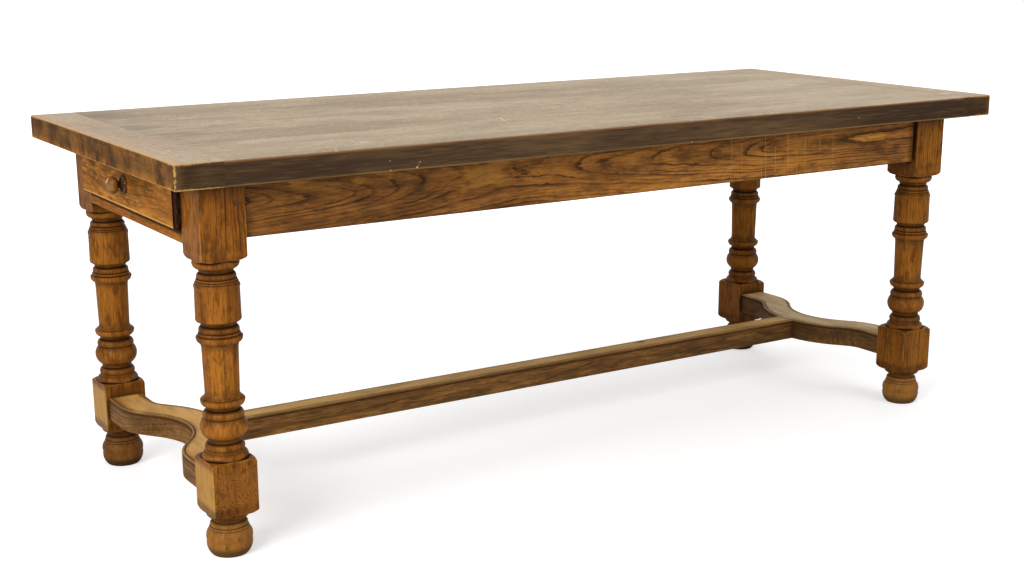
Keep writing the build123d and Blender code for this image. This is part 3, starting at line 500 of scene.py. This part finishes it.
for i, (shift, tone) in enumerate((
        (0.0, 0.99), (1.7, 0.95), (3.1, 1.02), (4.6, 0.98), (6.3, 1.02), (8.2, 0.99))):
    faces = [oak(
        f"oak_plank_{i + 1}_{part}", "x", (shift, 0.37 * i, 0.11 * i), (0.02 + 0.013 * i, 0.07 - 0.008 * i),
        toned((0.20, 0.115, 0.055), tone), toned((0.11, 0.062, 0.030), tone), (0.040, 0.023, 0.012),
        gloss=0.38, specular=specular, wear=0.75, wear_colour=(0.27, 0.125, 0.042), line_depth=0.45,
        grime_and_shade=0.30, finish=plank_finish(toned(PLANK_LIGHT, tone), toned(PLANK_DARK, tone)))
        for part, specular in (("top", 0.22), ("sides", 0.07))]
    dress(f"top_plank_{i + 1}", *faces)
for i, (node, end) in enumerate((("left_breadboard_end", -1), ("right_breadboard_end", 1))):
    faces = [oak(
        f"oak_breadboard_{i + 1}_{part}", "y", (2.3 + i, 0.21, 0.4 * i), (0.03, 0.06),
        (0.27, 0.145, 0.060), (0.14, 0.075, 0.032), (0.050, 0.027, 0.013), gloss=0.38, specular=specular,
        wear=0.6, wear_colour=(0.44, 0.24, 0.075), line_depth=0.5, grime_and_shade=0.30, finish=breadboard_finish(end))
        for part, specular in (("top", 0.22), ("sides", 0.035))]
    dress(node, *faces)


# Aprons and rail. The upright cuts have an x and a half width, the painted pool of light and the knot a
# centre in x and z.
APRON_CUTS = ((0.289, 0.0005), (0.318, 0.0007), (0.374, 0.0005), (0.386, 0.0009), (0.4145, 0.0009),
              (0.452, 0.0010), (0.477, 0.0006), (0.503, 0.0010), (0.547, 0.0008), (0.588, 0.0005))
APRON_CUT_MIDDLE_Z = 0.66
APRON_PAINTED_LIGHT = (0.735, 0.668)
APRON_KNOT = ((0.789, 0.642), 0.011)
APRON_SHADOW = (0.050, 0.022, 0.009)
APRON_AMBER = (0.56, 0.250, 0.040)
CUT_AMBER = (0.62, 0.31, 0.07)
KNOT_BROWN = (0.05, 0.022, 0.010)
RAIL_PAINTED_SHADOW = (0.020, 0.008, 0.003)


def apron_finish(g, place, _, colour, rough):
    """Painted shade under the top and a painted pool of light toward the right, with pale upright scratches
    and a knot towards the right.
    """
    x, _, z = g.split(place)
    wavy = g.noise(place, 30.0, 2.0, 0.5)
    colour = g.tint(colour, g.step(g.linear(wavy, 0.012, z), 0.686, 0.718), 0.60, APRON_SHADOW)
    dimmed = g.mix(1.0, colour, (0.50, 0.49, 0.56), blend="MULTIPLY")
    colour = g.tint(colour, g.step(x, -0.15, -0.66), 0.80, dimmed)
    shady = g.noise(place, (7.0, 1.0, 24.0), 4.0, 0.62)
    dimmed = g.mix(1.0, colour, (0.42, 0.40, 0.44), blend="MULTIPLY")
    colour = g.tint(colour, g.step(shady, 0.52, 0.66), 0.65, dimmed)
    colour = g.tint(colour, g.step(shady, 0.44, 0.32), 0.35, APRON_AMBER)
    # A painted pool of light toward the right end of the apron
    glow = g.product(g.step(g.off(x, APRON_PAINTED_LIGHT[0]), 0.085, 0.030),
                     g.step(g.off(z, APRON_PAINTED_LIGHT[1]), 0.016, 0.003))
    lit = g.mix(1.0, colour, (1.55, 1.62, 1.40), blend="MULTIPLY")
    colour = g.tint(colour, glow, 0.85, lit)
    # Shadowy beside the right leg and along the lower arris
    colour = g.tint(colour, g.step(x, 0.818, 0.838), 0.45, APRON_SHADOW)
    colour = g.tint(colour, g.step(g.linear(wavy, 0.004, z), 0.6105, 0.6070), 0.45, (0.045, 0.020, 0.009))
    cuts = []
    for centre, width in APRON_CUTS:
        lean = g.linear(g.math("SUBTRACT", z, APRON_CUT_MIDDLE_Z), 0.05, x)
        cuts.append(g.step(g.off(lean, centre), width * 1.3, width * 0.3))
    broken = g.step(g.noise(place, (60.0, 1.0, 55.0), 2.0, 0.5), 0.38, 0.52)
    cut = g.product(g.most(cuts), broken)
    colour = g.tint(colour, cut, 0.55, CUT_AMBER)
    colour = g.tint(colour, spot(g, x, z, *APRON_KNOT, 0.6, (1.0, 1.5)), 0.6, KNOT_BROWN)
    return colour, g.linear(cut, 0.1, rough)


def rail_finish(g, place, _, colour, rough):
    """A painted shadow: a dark line along the top, under the drawer."""
    z = g.split(place)[2]
    return g.tint(colour, g.step(z, RAIL_TOP - 0.0100, RAIL_TOP - 0.0075), 0.90, RAIL_PAINTED_SHADOW), rough


for node, axis, offset, pith, shape in (
        ("front_apron", "x", (0.0, 0.0, 0.0), (0.405, -0.670), (-0.28, -0.105, -0.045, 0.06)),
        ("back_apron", "x", (3.35, 0.0, 0.0), (-0.405, -0.670), (3.45, 0.080, 0.060, 0.06)),
        ("right_end_apron", "y", (1.15, 0.0, 0.0), (-0.990, -0.670), (1.10, 0.105, 0.060, 0.06))):
    dress(node, oak(
        f"oak_{node}", axis, offset, pith,
        (0.430, 0.168, 0.026), (0.270, 0.100, 0.016), (0.026, 0.011, 0.004), ring=0.0062, wander=0.0085,
        cone=shape, line_depth=0.95, line_width=0.75, feathering=0.0034, stain=0.40, flame=0.45, streak=0.42,
        specular=0.10, wear=0.5, wear_colour=(0.48, 0.230, 0.05), grime_and_shade=0.5,
        finish=apron_finish if node == "front_apron" else None))
dress("drawer_rail", oak(
    "oak_rail", "y", (5.2, 0.1, 0.2), (0.9, -0.57),
    (0.40, 0.142, 0.016), (0.270, 0.090, 0.011), (0.075, 0.027, 0.006), specular=0.03, wear=0.9,
    line_depth=0.35, stain=0.35, wear_colour=(0.56, 0.27, 0.055), finish=rail_finish))


# Legs, each with its own grain. Heights come in pairs, where a mark begins and where it is full; a mark on
# one stretch of the leg has such a pair for its lower and one for its upper end.
UPPER_BLOCK_Z = (0.580, 0.592)
RINGED_BLOCK = ((0.096, 0.104), (0.188, 0.182))
SWIRLED_BLOCK = ((0.098, 0.106), (0.182, 0.172))
BARE_BLOCK = ((0.070, 0.098), (0.186, 0.170))
BARE_FACE_X = (-0.9295, -0.9316)
DARKENED_TURNING = ((0.160, 0.174), (0.602, 0.588))
ANKLE = ((0.062, 0.076), (0.108, 0.096))
BUN_Z = (0.074, 0.062)
UNDER_TOP_SHADE_Z = (0.668, 0.712)
SWIRL_RING = ((0.0, 0.0), (0.14, 1.0), (0.42, 0.3), (1.0, 0.0))
# How dark grime and painted shade lie along the turning, from the upper block (0) to the lower one (1)
UPPER_GROOVE_DARKNESS = (
    (0.000, 0.30), (0.030, 0.12), (0.053, 0.55), (0.072, 0.08), (0.094, 0.45), (0.106, 0.95), (0.122, 0.35),
    (0.139, 0.75), (0.147, 0.25), (0.153, 0.60), (0.162, 0.45), (0.178, 0.10), (0.230, 0.00), (0.300, 0.00),
    (0.322, 0.08), (0.334, 0.55), (0.346, 0.98), (0.361, 0.30), (0.379, 0.80), (0.387, 0.25), (0.394, 0.55),
    (0.405, 0.00), (0.420, 0.22), (0.436, 0.70), (0.456, 0.22), (0.480, 0.05))
LOWER_GROOVE_DARKNESS = (
    (0.480, 0.05), (0.630, 0.08), (0.664, 0.55), (0.680, 0.50), (0.692, 0.00), (0.710, 0.35), (0.726, 0.95),
    (0.745, 0.25), (0.769, 0.72), (0.795, 0.15), (0.820, 0.00), (0.846, 0.20), (0.871, 0.95), (0.893, 0.30),
    (0.918, 0.75), (0.940, 0.20), (0.958, 0.30), (0.985, 0.12), (1.000, 0.08))

SWIRL_AMBER = (0.290, 0.108, 0.016)
SWIRL_BROWN = (0.040, 0.016, 0.006)
DOT_BROWN = (0.080, 0.032, 0.009)
BARE_OAK = (0.50, 0.270, 0.055)
GROOVE_GRIME_AND_SHADE = (0.040, 0.0145, 0.004)
UNDER_TOP_SHADE_BROWN = (0.060, 0.026, 0.010)
PEG_HALO = (0.030, 0.013, 0.006)
PEG_RIM = (0.026, 0.011, 0.005)


def on_blocks(g, place):
    """Rings show most on the square blocks, less on the turned parts."""
    z = g.split(place)[2]
    blocks = g.math("MAXIMUM", g.step(z, *UPPER_BLOCK_Z), g.band(z, *RINGED_BLOCK))
    return g.linear(blocks, 0.55, 0.45)


def round_pegs(g, x, z, radius, soft):
    """1 within a radius of a peg's middle, at either end of an apron."""
    return spot(g, g.math("ABSOLUTE", x), z, (PEG_X, PEG_Z), radius, soft)


def leg_finish(end, block_figure, bun_colour, bun_share):
    """end is -1 on the drawer's side of the table and 1 on the other."""
    def apply(g, place, p, colour, rough):
        x, y, z = g.split(place)
        # Swirled figure and stains on the lower block
        swirl = g.noise(g.join(x, y, g.product(z, 0.8)), 21.0, 1.6, 0.45, 1.6)
        block = g.band(z, *SWIRLED_BLOCK)
        colour = g.tint(colour, block, block_figure * 0.70, SWIRL_AMBER)
        rings = g.ramp(g.math("FRACT", g.product(swirl, 17.0)), SWIRL_RING)
        knotty = g.math("MAXIMUM", g.product(rings, 0.85), g.product(g.step(swirl, 0.54, 0.64), 0.6))
        colour = g.tint(colour, g.product(knotty, block), block_figure, SWIRL_BROWN)
        # Bun feet with small dark specks
        bun = g.step(z, *BUN_Z)
        colour = g.tint(colour, bun, bun_share, bun_colour)
        dots = g.step(g.noise(p, (70.0, 150.0, 150.0), 2.0, 0.6), 0.60, 0.68)
        colour = g.tint(colour, g.product(bun, dots), 0.45, DOT_BROWN)
        # Paler outer end face of the lower block on the drawer's side
        if end < 0:
            soft = g.noise(p, (12.0, 60.0, 60.0), 3.0, 0.6)
            bare = g.product(g.step(x, *BARE_FACE_X), g.band(z, *BARE_BLOCK),
                             g.linear(g.step(soft, 0.30, 0.56), 0.4, 0.6))
            colour = g.tint(colour, bare, 0.66, BARE_OAK)
        # Grime and painted shade in the grooves and under the lower block, uneven round the leg
        down = g.math("DIVIDE", g.math("SUBTRACT", TURNING_TOP, z), TURNING_LENGTH)
        groove_grime_and_shade = g.math("MAXIMUM", g.ramp(down, UPPER_GROOVE_DARKNESS), g.ramp(down, LOWER_GROOVE_DARKNESS))
        groove_grime_and_shade = g.product(groove_grime_and_shade, g.band(z, *DARKENED_TURNING))
        groove_grime_and_shade = g.math("MAXIMUM", groove_grime_and_shade, g.product(g.band(z, *ANKLE), 0.70))
        groove_patches = g.noise(place, (32.0, 32.0, 20.0), 4.0, 0.6)
        groove_grime_and_shade = g.product(groove_grime_and_shade, g.linear(g.step(groove_patches, 0.36, 0.60), 0.35, 0.55))
        colour = g.mix(groove_grime_and_shade, colour, GROOVE_GRIME_AND_SHADE)
        # Painted shade toward the top of the upper block, under the tabletop, and a dark halo round the peg
        colour = g.tint(colour, g.step(z, *UNDER_TOP_SHADE_Z), 0.35, UNDER_TOP_SHADE_BROWN)
        return g.tint(colour, round_pegs(g, x, z, 0.0062, 0.25), 0.65, PEG_HALO), rough
    return apply


def peg_finish(g, place, _, colour, rough):
    """A dark line round each peg's end."""
    x, _, z = g.split(place)
    return g.mix(round_pegs(g, x, z, 0.0034, 0.15), PEG_RIM, colour), rough


# Each leg's tone darkens it against the front left leg, partly its own colour and partly painted shade on the
# legs away from the light
for i, (corner, tone, end, figure, pith, bun) in enumerate((
        ("front_left", 0.99, -1, 0.85, (0.935, 0.286), ((0.34, 0.175, 0.048), 0.25)),
        ("back_left", 0.80, -1, 0.3, (0.936, -0.319), ((0.090, 0.046, 0.016), 0.45)),
        ("front_right", 0.74, 1, 0.2, (-0.922, 0.341), ((0.36, 0.190, 0.055), 0.25)),
        ("back_right", 0.76, 1, 0.2, (-0.926, -0.271), ((0.090, 0.046, 0.016), 0.40)))):
    dress(f"{corner}_leg", oak(
        f"oak_{corner}_leg", "z", (0.7 * i, 0.0, 0.0), pith,
        toned((0.375, 0.132, 0.014), tone), toned((0.225, 0.073, 0.009), tone),
        toned((0.042, 0.015, 0.004), tone), ring=0.0064, wander=0.008, line_depth=0.95, line_width=0.75,
        feathering=0.0022, stain=0.50, flame=0.24, streak=0.42, grain=1.7, gloss=0.22, specular=0.05,
        wear=0.85, wear_colour=toned((0.56, 0.240, 0.038), tone), grime_and_shade=1.0,
        grime_and_shade_colour=(0.016, 0.006, 0.002), grime_and_shade_reach=0.032, lines_where=on_blocks,
        finish=leg_finish(end, figure, *bun)))


# Stretchers: paler and worn on top, stained on their sides
STRETCHER_FACE_Z = (0.1606, 0.1621)
STRETCHER_ROLL_Z = (0.1475, 0.1510)
STRETCHER_CREST_Z = (0.1560, 0.1600)
NEAR_LEG_Y = (0.150, 0.245)
LONG_STRETCHER_KNOT = ((0.3171, 0.010), 0.0055)
UNTRODDEN_RED = (0.36, 0.150, 0.034)
ROLL_BROWN = (0.090, 0.034, 0.009)
CREST_AMBER = (0.56, 0.27, 0.065)
STRETCHER_KNOT_BROWN = (0.030, 0.014, 0.006)


def stretcher_finish(side_share, side_colour, top_colour, roll_share=0.85):
    """Sides drawn toward one colour and the trodden face toward another, with the moulded roll between."""
    def apply(g, place, p, colour, rough):
        _, y, z = g.split(place)
        cloudy = g.noise(p, (9.0, 30.0, 30.0), 4.0, 0.6)
        sides = g.tint(colour, g.step(cloudy, 0.35, 0.65), side_share, side_colour)
        trodden = g.mix(g.linear(g.step(cloudy, 0.72, 0.34), 0.38, 0.50), colour, top_colour)
        # Less trodden, and so redder, toward the legs
        by_leg = g.product(g.step(g.math("ABSOLUTE", y), *NEAR_LEG_Y), g.step(cloudy, 0.30, 0.56))
        trodden = g.tint(trodden, by_leg, roll_share * 0.62, UNTRODDEN_RED)
        colour = g.mix(g.step(z, *STRETCHER_FACE_Z), sides, trodden)
        # The roll keeps more of its red-brown polish, worn through along its crest
        roll = g.product(near_edge(g, 0.0110, 0.998, 0.975), g.step(z, *STRETCHER_ROLL_Z),
                         g.linear(g.step(cloudy, 0.34, 0.60), 0.30, 0.70))
        crest = g.product(near_edge(g, EDGE_RADIUS, 0.93, 0.60), g.step(z, *STRETCHER_CREST_Z))
        colour = g.tint(colour, roll, roll_share, ROLL_BROWN)
        return g.tint(colour, crest, roll_share * 0.6, CREST_AMBER), rough
    return apply


def long_stretcher_finish(g, place, p, colour, rough):
    """The trodden top carries one small dark knot."""
    worn = stretcher_finish(0.60, (0.066, 0.032, 0.011), (0.70, 0.42, 0.120), 0.60)
    colour, rough = worn(g, place, p, colour, rough)
    x, y, z = g.split(place)
    knot = g.product(spot(g, x, y, *LONG_STRETCHER_KNOT, 0.6, (0.5, 1.0)), g.step(z, 0.160, 0.162))
    return g.tint(colour, knot, 0.85, STRETCHER_KNOT_BROWN), rough


for i, (node, axis, tone, finish) in enumerate((
        ("left_end_stretcher", "y", 1.0, stretcher_finish(0.50, (0.105, 0.056, 0.018), (0.78, 0.440, 0.125))),
        # The right end stretcher is darker, partly as painted shade, and its trodden face paler and greyer as
        # a painted sheen
        ("right_end_stretcher", "y", 0.72,
         stretcher_finish(0.80, (0.046, 0.024, 0.009), (0.78, 0.56, 0.285), 0.65)),
        ("long_stretcher", "x", 0.88, long_stretcher_finish))):
    dress(node, oak(
        f"oak_{node}", axis, (1.9 * i, 0.3, 0.1), (0.5, 0.02),
        toned((0.280, 0.124, 0.028), tone), toned((0.150, 0.066, 0.017), tone), (0.036, 0.015, 0.005),
        ring=0.0085, line_depth=0.70, line_width=0.8, stain=0.3, specular=0.10, wear=0.8,
        wear_colour=toned((0.44, 0.225, 0.058), tone), grime_and_shade=1.0, finish=finish))


# Drawer
FRONT_MIDDLE_X = -0.9405
FRONT_END_Y = (0.2574, 0.2581)
KNOB_SHADOW_AND_SMEAR = ((-0.052, 0.655), 0.034)
KNOB_PAINTED_HIGHLIGHT = (0.0040, 0.6740)
KNOB_HIGHLIGHT_RIM = (0.0080, 0.0015)
BEHIND_KNOB_X = (-0.9600, -0.9550)
END_STAIN_AND_SHADE = (0.014, 0.006, 0.003)
END_PAINTED_HIGHLIGHT = (0.085, 0.038, 0.018)
SHADOW_AND_SMEAR_BROWN = (0.085, 0.042, 0.012)
SMOKY_AMBER = (0.130, 0.046, 0.008)
WARM_AMBER = (0.54, 0.225, 0.026)
TOP_SHADOW = (0.100, 0.042, 0.011)
FORWARD_AMBER = (0.205, 0.076, 0.008)
FLECK_BROWN = (0.120, 0.044, 0.008)
FLECK_PALE = (0.62, 0.290, 0.040)
LOWER_ARRIS = (0.66, 0.36, 0.090)


def drawer_front_finish(g, place, p, colour, rough):
    """A handled smear with the knob's painted shadow beside the knob, and end faces stained and painted dark
    as shade, with a painted highlight as a browner streak down their middle.
    """
    x, y, z = g.split(place)
    # End faces stained dark and painted darker as shade, with a painted highlight down their middle
    streak = g.step(g.off(x, FRONT_MIDDLE_X), 0.0042, 0.0016)
    stained = g.mix(g.product(streak, 0.75), END_STAIN_AND_SHADE, END_PAINTED_HIGHLIGHT)
    smear = g.noise(p, (14.0, 34.0, 34.0), 4.0, 0.62)
    # The knob's painted shadow, with a handled smear, beside the knob
    knob_shadow_and_smear = g.product(spot(g, y, z, *KNOB_SHADOW_AND_SMEAR, 0.8, (1.0, 1.3)), g.step(smear, 0.34, 0.60))
    colour = g.tint(colour, knob_shadow_and_smear, 0.70, SHADOW_AND_SMEAR_BROWN)
    colour = g.tint(colour, g.step(smear, 0.54, 0.68), 0.40, SMOKY_AMBER)
    # Warmer low down, darker under the top and toward the front of the table
    under = g.product(g.step(z, 0.6600, 0.6200), g.step(smear, 0.62, 0.42))
    colour = g.tint(colour, under, 0.45, WARM_AMBER)
    colour = g.tint(colour, g.step(z, 0.690, 0.712), 0.60, TOP_SHADOW)
    forward = g.product(g.step(y, -0.03, -0.25), g.step(smear, 0.30, 0.56))
    colour = g.tint(colour, forward, 0.55, FORWARD_AMBER)
    flecks = g.noise(p, (20.0, 120.0, 120.0), 3.0, 0.65)
    colour = g.tint(colour, g.step(flecks, 0.50, 0.64), 0.42, FLECK_BROWN)
    colour = g.tint(colour, g.step(flecks, 0.46, 0.32), 0.30, FLECK_PALE)
    arris = g.product(g.step(z, RAIL_TOP + 0.0085, RAIL_TOP + 0.0060), g.step(smear, 0.30, 0.46))
    colour = g.tint(colour, arris, 0.65, LOWER_ARRIS)
    return g.mix(g.step(g.math("ABSOLUTE", y), *FRONT_END_Y), colour, stained), rough


def knob_finish(g, place, _, colour, rough):
    """A painted highlight on the upper left of its dome, and painted shade behind and low down."""
    x, y, z = g.split(place)
    # Painted shade on the neck behind the knob
    colour = g.tint(colour, g.step(x, *BEHIND_KNOB_X), 0.35, (0.080, 0.030, 0.009))
    # A painted highlight on the upper left of the dome
    painted_highlight = g.step(distance(g, y, z, KNOB_PAINTED_HIGHLIGHT), *KNOB_HIGHLIGHT_RIM)
    colour = g.tint(colour, painted_highlight, 0.80, (0.80, 0.56, 0.30))
    # Painted shade on the lower part of the knob
    return g.tint(colour, g.step(z, 0.6620, 0.6530), 0.5, (0.095, 0.036, 0.008)), rough


def box_finish(g, place, _, colour, rough):
    """Bare oak that has taken the stain near the front."""
    x = g.split(place)[0]
    ragged = g.noise(place, 60.0, 3.0, 0.6)
    near = g.step(g.linear(ragged, 0.02, x), -0.905, -0.915)
    return g.mix(near, colour, (0.020, 0.009, 0.004)), rough


dress("drawer_front", oak(
    "oak_drawer_front", "y", (0.9, 0.95, 0.0), (0.05, -0.70),
    (0.400, 0.137, 0.009), (0.230, 0.074, 0.005), (0.060, 0.021, 0.004), ring=0.0085, line_depth=0.55,
    stain=0.70, gloss=0.32, specular=0.03, wear=0.9, wear_colour=(0.56, 0.27, 0.045), grime_and_shade=0.7,
    finish=drawer_front_finish))
dress("drawer_knob", oak(
    "oak_knob", "x", (0.2, 0.0, 0.66), (0.01, 0.01),
    (0.265, 0.100, 0.016), (0.145, 0.050, 0.009), (0.050, 0.019, 0.006), gloss=0.16, specular=0.14, wear=0.3,
    ring=0.004, line_depth=0.3, streak=0.25, flame=0.4, grime_and_shade=0.75, finish=knob_finish))
dress("knob_rosette", oak(
    "dark_rosette", "x", (0.4, 0.0, 0.66), (0.01, 0.01),
    (0.230, 0.092, 0.028), (0.120, 0.046, 0.015), (0.030, 0.012, 0.005), gloss=0.26, specular=0.10, wear=1.0,
    wear_colour=(0.52, 0.27, 0.095), ring=0.004, grime_and_shade=0.85))
for i, (node, axis) in enumerate((("drawer_front_side", "x"), ("drawer_back_side", "x"), ("drawer_back", "y"),
                                  ("drawer_bottom", "y"))):
    dress(node, oak(
        f"oak_{node}", axis, (0.8 * i, 0.2, 0.5), (0.11, 0.05 + 0.02 * i),
        (0.44, 0.285, 0.145), (0.31, 0.195, 0.098), (0.15, 0.088, 0.042), gloss=0.55, wear=0.2,
        wear_colour=(0.50, 0.34, 0.18), line_depth=0.5, stain=0.25, grime_and_shade=0.5,
        grime_and_shade_colour=(0.10, 0.055, 0.025), finish=box_finish if node != "drawer_back" else None))

# Pieces hidden under the top, and the pegs
for i, node in enumerate(("front_drawer_runner", "back_drawer_runner", "front_drawer_guide",
                          "back_drawer_guide", "drawer_stops", "top_buttons")):
    dress(node, oak(
        f"oak_{node}", "x", (0.6 * i, 0.4, 0.3), (0.08, 0.09),
        (0.36, 0.225, 0.11), (0.24, 0.145, 0.072), (0.11, 0.062, 0.030), gloss=0.6, wear=0.2,
        wear_colour=(0.42, 0.27, 0.13), line_depth=0.5, stain=0.35, grime_and_shade=0.7,
        grime_and_shade_colour=(0.07, 0.036, 0.016)))
dress("apron_pegs", oak(
    "oak_pegs", "y", (0.1, 0.0, 0.0), (0.86, -0.67),
    (0.17, 0.070, 0.018), (0.09, 0.036, 0.011), (0.030, 0.012, 0.005), ring=0.002, grime_and_shade=0.4,
    finish=peg_finish))
dress("button_screws", steel("iron_screws"))


# Floor, light and camera
FLOOR_REACH = 14
FLOOR_GREY = (0.80, 0.80, 0.80, 1)
WHITE = (1, 1, 1, 1)
SURROUND_LIGHT = 0.45
CAMERA_PLACE = (-1.9039, -2.8997, 1.1424)
CAMERA_YAW_PITCH_ROLL = (32.5748, 14.5298, -0.1314)


def stage_floor():
    """A pale floor that the camera sees fade to white."""
    mesh = bpy.data.meshes.new("floor")
    corners = [(x * FLOOR_REACH, y * FLOOR_REACH, 0) for x, y in ((-1, -1), (1, -1), (1, 1), (-1, 1))]
    mesh.from_pydata(corners, [], [(0, 1, 2, 3)])
    floor = bpy.data.objects.new("floor", mesh)
    bpy.context.scene.collection.objects.link(floor)
    g = Graph(bpy.data.materials.new("floor_white"))
    diffuse = g.add("ShaderNodeBsdfDiffuse")
    g.put(diffuse.inputs["Color"], FLOOR_GREY)
    glow = g.add("ShaderNodeEmission")
    g.put(glow.inputs["Color"], WHITE)
    length = g.add("ShaderNodeVectorMath", operation="LENGTH")
    g.put(length.inputs[0], g.add("ShaderNodeTexCoord").outputs["Object"])
    far = g.step(length.outputs["Value"], 1.3, 3.4)
    seen = g.add("ShaderNodeLightPath").outputs["Is Camera Ray"]
    g.put(glow.inputs["Strength"], g.product(seen, g.linear(far, 0.52, 0.48)))
    both = g.add("ShaderNodeAddShader")
    g.put(both.inputs[0], diffuse.outputs[0])
    g.put(both.inputs[1], glow.outputs[0])
    mesh.materials.append(g.surface(both))


def softbox(name, place, aim, width, height, watts):
    light = bpy.data.lights.new(name, "AREA")
    light.shape = "RECTANGLE"
    light.size = width
    light.size_y = height
    light.energy = watts
    box = bpy.data.objects.new(name, light)
    box.location = place
    box.rotation_euler = (Vector(aim) - Vector(place)).to_track_quat("-Z", "Y").to_euler()
    box.visible_camera = False
    bpy.context.scene.collection.objects.link(box)


def studio_world():
    """White to the camera, in reflections and through glass, and a dimmer light on everything else."""
    g = Graph(bpy.data.worlds.new("studio"))
    rays = g.add("ShaderNodeLightPath").outputs
    seen = g.most([rays["Is Camera Ray"], rays["Is Glossy Ray"], rays["Is Transmission Ray"]])
    strength = g.add("ShaderNodeMapRange")
    g.put(strength.inputs["Value"], seen)
    g.put(strength.inputs["To Min"], SURROUND_LIGHT)
    background = g.add("ShaderNodeBackground")
    g.put(background.inputs["Color"], WHITE)
    g.put(background.inputs["Strength"], strength.outputs["Result"])
    bpy.context.scene.world = g.surface(background, "ShaderNodeOutputWorld")


def photo_camera():
    data = bpy.data.cameras.new("camera")
    data.sensor_fit = "HORIZONTAL"
    data.sensor_width = 36.0
    data.lens = 54.45
    data.shift_x = -0.00386
    data.shift_y = 0.03624
    data.clip_start = 0.05
    data.clip_end = 60.0
    camera = bpy.data.objects.new("camera", data)
    yaw, pitch, roll = (math.radians(a) for a in CAMERA_YAW_PITCH_ROLL)
    forward = Vector((math.sin(yaw) * math.cos(pitch), math.cos(yaw) * math.cos(pitch), -math.sin(pitch)))
    level = Vector((math.cos(yaw), -math.sin(yaw), 0))
    upright = level.cross(forward)
    right = level * math.cos(roll) + upright * math.sin(roll)
    up = right.cross(forward)
    turned = Matrix((right, up, -forward)).transposed().to_4x4()
    camera.matrix_world = Matrix.Translation(CAMERA_PLACE) @ turned
    bpy.context.scene.collection.objects.link(camera)
    bpy.context.scene.camera = camera


stage_floor()
studio_world()
softbox("key", (-4.2, -2.0, 2.3), aim=(0, 0, 0.4), width=2.4, height=2.0, watts=165)
softbox("fill", (1.6, -4.4, 1.9), aim=(0, 0, 0.4), width=2.6, height=2.0, watts=70)
softbox("overhead", (0.7, 0.9, 3.5), aim=(0.2, 0.1, 0.7), width=3.4, height=2.2, watts=44)
photo_camera()
bpy.context.scene.view_settings.view_transform = "Standard"
